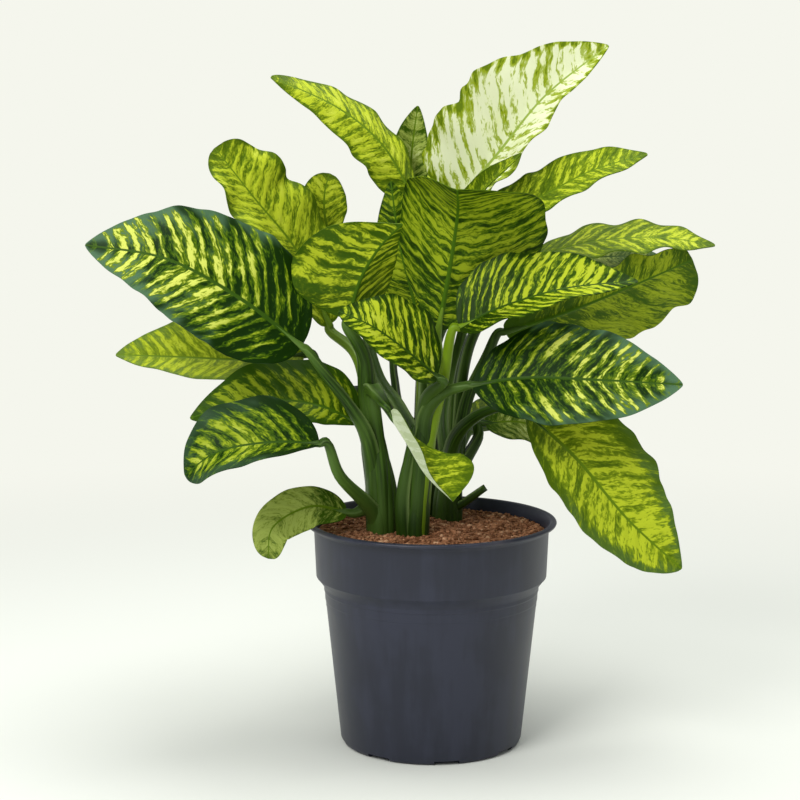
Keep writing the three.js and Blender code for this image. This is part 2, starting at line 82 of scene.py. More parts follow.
class Route:
    """A smooth curve through points, read by a number from 0 at the first point to 1 at the last."""

    def __init__(self, points):
        self.points = [Vector(p) for p in points]

    def _span(self, t):
        pts = self.points
        place = min(max(t, 0.0), 1.0) * (len(pts) - 1)
        i = min(int(place), len(pts) - 2)
        before = pts[i - 1] if i > 0 else 2 * pts[0] - pts[1]
        after = pts[i + 2] if i + 2 < len(pts) else 2 * pts[-1] - pts[-2]
        a, b = pts[i], pts[i + 1]
        leave, arrive = (b - before) / 2, (after - a) / 2
        bend = 3 * (b - a) - 2 * leave - arrive
        twist = 2 * (a - b) + leave + arrive
        return place - i, a, leave, bend, twist

    def point(self, t):
        w, a, leave, bend, twist = self._span(t)
        return a + w * leave + w * w * bend + w ** 3 * twist

    def direction(self, t):
        w, a, leave, bend, twist = self._span(t)
        return (leave + 2 * w * bend + 3 * w * w * twist).normalized()

    def length(self, steps=40):
        pts = [self.point(i / steps) for i in range(steps + 1)]
        return sum((b - a).length for a, b in zip(pts, pts[1:]))


def square_to(direction, wanted):
    """The unit vector nearest to wanted that stands square to direction."""
    return (wanted - wanted.dot(direction) * direction).normalized()


def smooth_step(low, high, value):
    """0 below low, 1 above high and a soft step between them."""
    share = min(max((value - low) / (high - low), 0.0), 1.0)
    return share * share * (3 - 2 * share)


def bell(value, width):
    """A smooth bump: 1 where value is 0, about a third where it is width, and close to 0 further out."""
    return math.exp(-((value / width) ** 2))


print("a test route is", round(Route([(0, 0, 0), (50, 0, 20), (100, 0, 0)]).length(), 1), "mm long")

# %% [markdown]
# Meshes, objects and pieces
#
# Every finished mesh becomes one object at the origin. A piece of the plant rides on its only body and
# stands for its node of the construction model.

# %% Mesh and piece helpers
def finish_mesh(bm, name):
    mesh = bpy.data.meshes.new(name)
    bm.to_mesh(mesh)
    bm.free()
    return mesh


def add_object(name, data):
    made = bpy.data.objects.new(name, data)
    bpy.context.scene.collection.objects.link(made)
    return made


def make_piece(bm, name, model_node, materials):
    """Turns a finished bmesh into a piece that stands for one node of the construction model."""
    piece = add_object(name, finish_mesh(bm, name))
    for material in materials:
        piece.data.materials.append(material)
    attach(piece, "root")
    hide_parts(model_node)
    return piece


# %% [markdown]
# Camera
#
# The photograph was taken from a little above the rim of the pot with a long lens. The ellipses of the
# pot's rim and foot give the camera's height, its distance and its tilt, and the pot's place in the picture
# gives its turn.

# %% Camera
PICTURE_WIDTH = 800
FOCAL_PIXELS = 2034
CAMERA_HEIGHT = 0.611
CAMERA_DISTANCE = 1.912
CAMERA_TILT = 8.31
POT_AXIS_PIXEL = 432
SENSOR_WIDTH = 36
FARTHEST_SEEN = 200

camera_data = bpy.data.cameras.new("camera")
camera_data.sensor_width = SENSOR_WIDTH
camera_data.lens = FOCAL_PIXELS / PICTURE_WIDTH * SENSOR_WIDTH
camera_data.clip_end = FARTHEST_SEEN
camera = add_object("camera", camera_data)
turn = math.atan((POT_AXIS_PIXEL - PICTURE_WIDTH / 2) / FOCAL_PIXELS)
camera.location = (0, -CAMERA_DISTANCE, CAMERA_HEIGHT)
camera.rotation_euler = (math.radians(90 - CAMERA_TILT), 0, turn)
bpy.context.scene.camera = camera
print("lens", round(camera_data.lens, 1), "mm")

# %% [markdown]
# Helpers for materials
#
# All colours here are procedural, so the script makes many shader nodes. A small class stands for what a
# node puts out, a field, and lets fields be added and multiplied like numbers, so that a formula below
# reads as a formula. Short functions add a node, turn a value into a soft mask and lay coats of colour over
# one another. Colours are written as the 0 to 255 numbers of a picture and turned into the linear light
# that shaders use.

# %% Fields and nodes
def linear(red, green, blue):
    """A picture's colour as linear light, with full opacity."""
    parts = [c / 255 for c in (red, green, blue)]
    return (*[c / 12.92 if c <= 0.04045 else ((c + 0.055) / 1.055) ** 2.4 for c in parts], 1.0)


class Field:
    """A number, vector or colour that a shader node works out for every spot of a surface."""

    def __init__(self, socket):
        self.socket = socket
        self.tree = socket.id_data

    def __add__(self, other):
        return maths("ADD", self, other)

    def __mul__(self, other):
        return maths("MULTIPLY", self, other)

    def __sub__(self, other):
        return maths("SUBTRACT", self, other)

    def __rsub__(self, other):
        return maths("SUBTRACT", other, self)


def feed(socket, value):
    """Links a field to a socket or sets a plain value. None leaves the socket alone."""
    if isinstance(value, Field):
        value.tree.links.new(value.socket, socket)
    elif value is not None:
        socket.default_value = value


def node(tree, kind, *values, out=0, **settings):
    """Adds a node, feeds its inputs in their order, and gives the output asked for."""
    made = tree.nodes.new(kind)
    for name, value in settings.items():
        setattr(made, name, value)
    for socket, value in zip(made.inputs, values):
        feed(socket, value)
    return Field(made.outputs[out])


def maths(operation, *values):
    tree = next(value.tree for value in values if isinstance(value, Field))
    return node(tree, "ShaderNodeMath", *values, operation=operation)


def mask(value, low, high):
    """0 below low, 1 above high and a soft step between them."""
    return node(value.tree, "ShaderNodeMapRange", value, low, high, 0.0, 1.0, interpolation_type="SMOOTHSTEP")


def paint(colour, *coats):
    """Lays coats over a colour, one after the other. Each is a mask and the colour that it brings."""
    for share, coat in coats:
        made = share.tree.nodes.new("ShaderNodeMix")
        made.data_type = "RGBA"
        for index, value in zip((0, 6, 7), (share, colour, coat)):
            feed(made.inputs[index], value)
        colour = Field(made.outputs[2])
    return colour


def speckle(place, scale, detail=2.0, roughness=0.5):
    """Plain noise from about 0.3 to 0.7."""
    return node(place.tree, "ShaderNodeTexNoise", place, None, scale, detail, roughness)


def split(vector):
    """The three numbers of a vector."""
    first = node(vector.tree, "ShaderNodeSeparateXYZ", vector)
    return [Field(socket) for socket in first.socket.node.outputs]


print("leaf green in linear light is", [round(c, 3) for c in linear(75, 108, 18)])

# %% Groups and materials
def new_group(name, inputs, outputs):
    """A shader node group, its inputs as fields and its outputs as sockets, from titles listed by kind."""
    group = bpy.data.node_groups.new(name, "ShaderNodeTree")
    for way, kinds in (("INPUT", inputs), ("OUTPUT", outputs)):
        for kind, titles in kinds.items():
            for title in titles:
                group.interface.new_socket(name=title, in_out=way, socket_type="NodeSocket" + kind)
    given = {socket.name: Field(socket) for socket in group.nodes.new("NodeGroupInput").outputs}
    return group, given, group.nodes.new("NodeGroupOutput").inputs


def use_group(tree, group, **values):
    made = tree.nodes.new("ShaderNodeGroup")
    made.node_tree = group
    for name, value in values.items():
        feed(made.inputs[name.capitalize()], value)
    return {socket.name: Field(socket) for socket in made.outputs}


def new_material(name, roughness, specular):
    """A material with a Principled shader, its tree and that shader's inputs."""
    material = bpy.data.materials.new(name)
    material.use_nodes = True
    shader = material.node_tree.nodes["Principled BSDF"]
    shader.inputs["Roughness"].default_value = roughness
    shader.inputs["Specular IOR Level"].default_value = specular
    return material, material.node_tree, shader.inputs


def add_bump(shader, height, strength, distance):
    """Lets a field raise the surface, by up to distance in metres."""
    bump = node(height.tree, "ShaderNodeBump", strength, distance)
    feed(bump.socket.node.inputs["Height"], height)
    feed(shader["Normal"], bump)


def object_place(tree):
    """The place on the object in metres."""
    return node(tree, "ShaderNodeTexCoord", out=3)


def vertex_value(tree, name):
    """A number that the mesh carries at each vertex."""
    return node(tree, "ShaderNodeAttribute", attribute_name=name, out=2)


def uv_place(tree, name):
    return node(tree, "ShaderNodeUVMap", uv_map=name)


print("materials so far:", len(bpy.data.materials))

# %% [markdown]
# Studio
#
# The photograph is a cut-out on a pale cream ground. A plain pale floor does the same here. Near the pot it
# is a matt surface that takes the soft shadow, and further out it fades into the even colour that the
# background has, so no edge of the floor shows. One large soft light stands high at the front left, one
# more hangs overhead, and the pale surroundings fill the shadows.

# %% Floor, background and lights
GROUND_COLOUR = linear(245, 246, 237)
GROUND_LIGHT = 1.0
FLOOR_COLOUR = linear(236, 238, 229)
FLOOR_SIZE = 60
FLOOR_FADE = (0.5, 1.6)
SURROUNDINGS = linear(246, 250, 252)
SURROUNDINGS_LIGHT = 0.45

bpy.context.scene.view_settings.view_transform = "Standard"
world = bpy.data.worlds.new("surroundings")
world.use_nodes = True
bpy.context.scene.world = world
tree = world.node_tree
fill = node(tree, "ShaderNodeBackground", SURROUNDINGS, SURROUNDINGS_LIGHT)
seen = node(tree, "ShaderNodeBackground", GROUND_COLOUR, GROUND_LIGHT)
to_camera = node(tree, "ShaderNodeLightPath")
both = node(tree, "ShaderNodeMixShader", to_camera, fill, seen)
feed(tree.nodes["World Output"].inputs["Surface"], both)

bm = bmesh.new()
bmesh.ops.create_grid(bm, x_segments=1, y_segments=1, size=FLOOR_SIZE)
floor = add_object("floor", finish_mesh(bm, "floor"))
floor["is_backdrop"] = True
floor_material, tree, shader = new_material("pale floor", roughness=0.9, specular=0.0)
feed(shader["Base Color"], FLOOR_COLOUR)
matt = Field(tree.nodes["Principled BSDF"].outputs[0])
glow = node(tree, "ShaderNodeEmission", GROUND_COLOUR, GROUND_LIGHT)
distance = node(tree, "ShaderNodeVectorMath", object_place(tree), operation="LENGTH", out=1)
faded = node(tree, "ShaderNodeMixShader", mask(distance, *FLOOR_FADE), matt, glow)
feed(tree.nodes["Material Output"].inputs["Surface"], faded)
floor.data.materials.append(floor_material)


def soft_light(name, size, power, spot, target):
    """A square soft light at spot that looks at target."""
    data = bpy.data.lights.new(name, "AREA")
    data.size = size
    data.energy = power
    lamp = add_object(name, data)
    lamp.location = spot
    lamp.rotation_euler = (Vector(target) - Vector(spot)).to_track_quat("-Z", "Y").to_euler()


soft_light("key", size=1.2, power=38, spot=(-1.1, -1.7, 1.9), target=(0, 0, 0.4))
soft_light("overhead", size=1.6, power=34, spot=(0.3, 0.2, 2.3), target=(0, 0, 0.3))

# %% [markdown]
# The streaks of the blade
#
# On a real blade the streaks are stripes without green that grew between the side veins, so they lean from
# the midrib out to the edge and to the tip, as regular as a comb but with ragged sides and breaks. Each
# blade mesh below carries two UV maps: "Veins" counts side veins along the blade and distance along a vein,
# both in vein spacings, and "Blade" gives the place across and along. A comb that follows the veins and
# four sizes of noise, stretched along them, add up to one level, and a fifth noise makes the comb wander.
# Low levels are deep green, and higher ones pass through green and lime to yellow and cream, so that a thin
# stripe stays lime and a broad one has a pale heart. Near the edge the level falls, which leaves the green
# border. Old leaves get a painted blue-grey sheen of reflected light over their green, and the midrib's own
# green comes last. One node group holds all of it, because every blade uses it with its own colours.

# %% Streak group
STREAK_INPUTS = {
    "Vector": ("Veins", "Blade"),
    "Color": ("Deep", "Green", "Lime", "Yellow", "Cream", "Bloom", "Rib"),
    "Float": ("Cover", "Border", "Comb", "Pale", "Tip", "Fineness", "Waxy", "Shade"),
}
STREAK_OUTPUTS = {"Color": ("Color",), "Float": ("Streak", "Relief")}
COMB_RISE = (0.4, -0.9)
COMB_REST = 0.4
EDGE = 0.98
EDGE_SOFTNESS = 0.2
TIP_GREEN = (0.86, 1.04)
STALK_GREEN = (0.10, -0.02)
SHADED_END = (0.55, 0.0)
GREEN_LEVELS = (0.0, 0.34)
LIME_LEVELS = (0.28, 0.60)
YELLOW_LEVELS = (0.52, 0.86)
HEART_LEVELS = (0.60, 0.90)
CREAM_PATCHES = (0.15, 0.70)
SHEEN_PATCHES = (0.70, 1.20)
STREAK_LEVELS = (0.3, 0.8)
RIB_HALF = 0.19
RIB_THINS = 0.12
RIB_EDGE = (0.03, -0.05)

streaks, given, result = new_group("streaks", STREAK_INPUTS, STREAK_OUTPUTS)
vein, outward, _ = split(given["Veins"])
sideways, along, _ = split(given["Blade"])
across = maths("ABSOLUTE", sideways * 2.0 - 1.0)


def vein_noise(vein, wide, long, layer, detail=2.0, roughness=0.5):
    """Noise round 0, with spots that are 1 / wide vein spacings broad and 1 / long of them long."""
    spot = node(streaks, "ShaderNodeCombineXYZ", vein * wide, outward * long, layer)
    return speckle(spot, 1.0, detail, roughness) - 0.5


patches = vein_noise(vein, 0.5, 0.42, layer=3.0)
wandering = vein + vein_noise(vein, 0.8, 0.6, layer=5.0)
fine_vein = wandering * given["Fineness"]
long_streaks = vein_noise(fine_vein, 1.3, 0.34, layer=7.0)
splits = vein_noise(fine_vein, 3.2, 0.9, layer=9.0, detail=3.0, roughness=0.6)
crumbs = vein_noise(fine_vein, 6.0, 3.0, layer=11.0, roughness=0.6)

# The comb is 1 half way between two side veins and falls to 0 towards them
comb = mask(maths("COSINE", fine_vein * math.tau), *COMB_RISE)

# Where the blade stays green: on its border, at its tip and at its stalk
inner = EDGE - given["Border"]
border = mask(across + splits * 0.6 + long_streaks * 0.6, inner, inner + EDGE_SOFTNESS)
tip = mask(along + splits * 0.4, *TIP_GREEN)
stalk_end = mask(along + splits * 0.2, *STALK_GREEN)
green_here = maths("MAXIMUM", border, maths("MAXIMUM", tip, stalk_end))

level = given["Comb"] * (comb - COMB_REST) + given["Cover"]
level = level + long_streaks * 1.2 + splits * 1.6 + crumbs * 1.5 + patches * 1.6
# Towards the stalk end the level falls by Shade, so the blade is darker there: painted shade
level = level - green_here * 0.75 - mask(along, *SHADED_END) * given["Shade"]

cream_here = mask(along * given["Tip"] + given["Pale"] + patches * 1.2, *CREAM_PATCHES)
# Painted sheen: a blue-grey sheen of reflected light, strongest towards the edge and the tip
sheen_here = mask(across * 0.6 + along * 0.8 + patches * 1.6, *SHEEN_PATCHES) * given["Waxy"]
rib_here = mask(outward - (along * -RIB_THINS + RIB_HALF), *RIB_EDGE)
colour = paint(
    given["Deep"],
    (mask(level, *GREEN_LEVELS), given["Green"]),
    (sheen_here, given["Bloom"]),
    (mask(level, *LIME_LEVELS), given["Lime"]),
    (mask(level, *YELLOW_LEVELS), given["Yellow"]),
    (mask(level, *HEART_LEVELS) * cream_here, given["Cream"]),
    (rib_here, given["Rib"]),
)
feed(result["Color"], colour)
feed(result["Streak"], mask(level, *STREAK_LEVELS))
feed(result["Relief"], comb * 0.3 + (splits + long_streaks))
print("the streak group has", len(streaks.nodes), "nodes")

# %% [markdown]
# Blade finishes
#
# The upper face has a coat of wax, and on old leaves a painted blue-grey sheen of reflected light greys
# the green towards the edge and the tip. The underside is duller and paler, with finer stripes. Old leaves
# are deep green, young ones yellow-green, and the topmost one is nearly cream, so there are several
# finishes of each face. All of them come from one function, which takes a palette of five colours from deep
# green to cream, the midrib's colour, and a few numbers.

# %% Palettes
DEEP = linear(18, 44, 2)
BOTTLE = linear(34, 58, 3)
FOREST = linear(48, 78, 4)
MOSS = linear(58, 88, 6)
LEAF = linear(76, 101, 9)
GRASS = linear(98, 121, 13)
FRESH = linear(122, 143, 20)
LIME = linear(148, 165, 30)
YELLOW = linear(182, 196, 42)
STRAW = linear(208, 216, 96)
CREAM = linear(218, 226, 156)
IVORY = linear(228, 233, 196)
GREY_LEAF = linear(104, 124, 46)
GREY_LIME = linear(140, 157, 64)
GREY_WHITE = linear(190, 200, 168)
GREY_STRAW = linear(162, 178, 84)
GREY_PALE = linear(174, 186, 146)
# The colour of the painted sheen of reflected light on old blades
PAINTED_SHEEN = linear(84, 118, 86)
RIB = linear(52, 82, 14)
RIB_BELOW = linear(66, 100, 12)
RIB_YOUNG = linear(96, 124, 18)
RIB_CREAM = linear(150, 172, 72)

OLD = (DEEP, MOSS, GRASS, LIME, STRAW)
MIDDLING = (FOREST, MOSS, GRASS, LIME, YELLOW)
COMBED = (BOTTLE, MOSS, GRASS, YELLOW, STRAW)
GROWN = (LEAF, GRASS, FRESH, YELLOW, STRAW)
YOUNG = (LEAF, GRASS, LIME, YELLOW, STRAW)
SOFT = (GRASS, FRESH, LIME, YELLOW, STRAW)
TOP = (GRASS, LIME, GREY_STRAW, CREAM, IVORY)
HAZY = (MOSS, GREY_LEAF, GREY_LIME, GREY_STRAW, CREAM)
UNDER = (BOTTLE, LEAF, FRESH, LIME, YELLOW)
UNDER_OLD = (BOTTLE, MOSS, GRASS, LIME, YELLOW)
UNDER_YOUNG = (MOSS, LEAF, FRESH, YELLOW, YELLOW)
UNDER_PALE = (MOSS, LEAF, FRESH, LIME, GREY_STRAW)
WHITISH = (GREY_PALE, GREY_PALE, GREY_WHITE, GREY_WHITE, IVORY)
print("a palette has", len(OLD), "colours")

# %% Blade finishes
BLADE_ROUGHNESS = 0.45
BLADE_GLOSS = 0.08
STREAK_DULLNESS = 0.10
PALETTE_INPUTS = ("deep", "green", "lime", "yellow", "cream")
USUAL_FINISH = dict(bloom=PAINTED_SHEEN, rib=RIB, pale=0.0, tip=0.0, fineness=1.0, waxy=0.0, shade=0.2)

# Each row: the palette, how much is streaked, how broad the green border is, how strong the comb is, and what
# else differs from the usual finish
# The sheen amount sets how strong the painted blue-grey sheen of reflected light is
# shade sets how far each blade is darkened towards its stalk end: painted shade
FINISH_ROWS = {
    "deep": (OLD, 0.46, 0.15, 0.52, dict(tip=1.1, waxy=0.80, shade=0.40)),
    "shaded": (OLD, 0.50, 0.34, 0.42, dict(tip=0.3, waxy=0.25, shade=0.30)),
    "speckled": (GROWN, 0.52, 0.12, 0.34, dict(pale=0.1, rib=RIB_YOUNG)),
    "hanging": (GROWN, 0.66, 0.28, 0.30, dict(waxy=0.2, shade=0.1, rib=RIB_YOUNG)),
    "soft": (SOFT, 0.44, 0.10, 0.40, dict(pale=0.1, waxy=0.2, rib=RIB_YOUNG)),
    "bordered": (MIDDLING, 0.54, 0.30, 0.42, dict(shade=0.1, rib=RIB_BELOW)),
    "golden": (YOUNG, 0.64, 0.16, 0.34, dict(pale=0.15, shade=0.24, rib=RIB_YOUNG)),
    "combed": (COMBED, 0.56, 0.12, 0.56, dict(pale=0.1, fineness=1.25, shade=0.34)),
    "cream": (TOP, 0.94, 0.24, 0.56, dict(pale=0.7, shade=0.1, rib=RIB_CREAM)),
    "plain": (YOUNG, 0.38, 0.10, 0.20, dict(rib=RIB_YOUNG)),
    "dull": (HAZY, 0.34, 0.16, 0.15, dict(waxy=0.5)),
    "greyed": (HAZY, 0.76, 0.06, 0.16, dict(shade=0.7, rib=RIB_YOUNG)),
    "hazy": (HAZY, 0.64, 0.10, 0.30, dict(pale=0.3, shade=0.3, rib=RIB_YOUNG)),
    "back": (UNDER, 0.46, 0.12, 0.38, dict(fineness=1.4, rib=RIB_BELOW)),
    "back_dark": (UNDER_OLD, 0.56, 0.08, 0.44, dict(fineness=1.7, rib=RIB_BELOW)),
    "back_gold": (UNDER_YOUNG, 0.52, 0.08, 0.46, dict(fineness=1.3, rib=RIB_BELOW)),
    "back_pale": (UNDER_PALE, 0.56, -0.1, 0.14, dict(fineness=1.4, shade=0.8, rib=RIB_BELOW)),
    "back_white": (WHITISH, 0.40, 0.0, 0.40, dict(shade=0.0, rib=GREY_WHITE)),
    "back_cream": (TOP, 0.74, 0.12, 0.44, dict(pale=0.5, fineness=1.2, rib=RIB_CREAM)),
}


def blade_finish(name, palette, cover, border, comb, changes):
    """A streaked surface for one face of a blade."""
    material, tree, shader = new_material(name, BLADE_ROUGHNESS, BLADE_GLOSS)
    maps = dict(veins=uv_place(tree, "Veins"), blade=uv_place(tree, "Blade"))
    colours = dict(zip(PALETTE_INPUTS, palette))
    values = dict(USUAL_FINISH, cover=cover, border=border, comb=comb) | changes
    made = use_group(tree, streaks, **maps, **colours, **values)
    feed(shader["Base Color"], made["Color"])
    feed(shader["Roughness"], made["Streak"] * STREAK_DULLNESS + BLADE_ROUGHNESS)
    add_bump(shader, made["Relief"], strength=0.35, distance=0.0008)
    return material


FINISHES = {key: blade_finish(key.replace("_", " ") + " blade", *row) for key, row in FINISH_ROWS.items()}
print(len(FINISHES), "blade finishes")

# %% [markdown]
# The leaves
#
# Each leaf has the place and shape that the construction model gives it. stalk is the way of the petiole
# from the cane, and rib the way of the midrib from the stalk to the tip. up is where the upper face looks
# at the base, and tip_up at the tip. width holds the half widths left and right of the midrib, fold the
# degrees that each half is folded up, and sag how far the edge hangs. waves gives the height and number of
# the edge's waves, and scallop how uneven the outline is. ends says how slowly the outline opens and
# closes, and right_ends the same where the right half differs. lean is how far the side veins of each half
# lean to the tip. stalk_radius is the stalk's radius at the cane and at the blade. face and back name the
# finishes. What a row leaves out is as on the usual leaf.

# %% Leaf table
USUAL_LEAF = dict(back="back", fold=(20, 20), sag=0, scallop=0.018, waves=(2, 3), ends=(0.55, 0.85),
                  lean=(0.55, 0.55), stalk_radius=(8.0, 3.6))


def plan(name, cane, slot, face, **shape):
    """One leaf: the usual one with what is its own."""
    return USUAL_LEAF | dict(name=name, cane=cane, slot=slot, face=face, **shape)


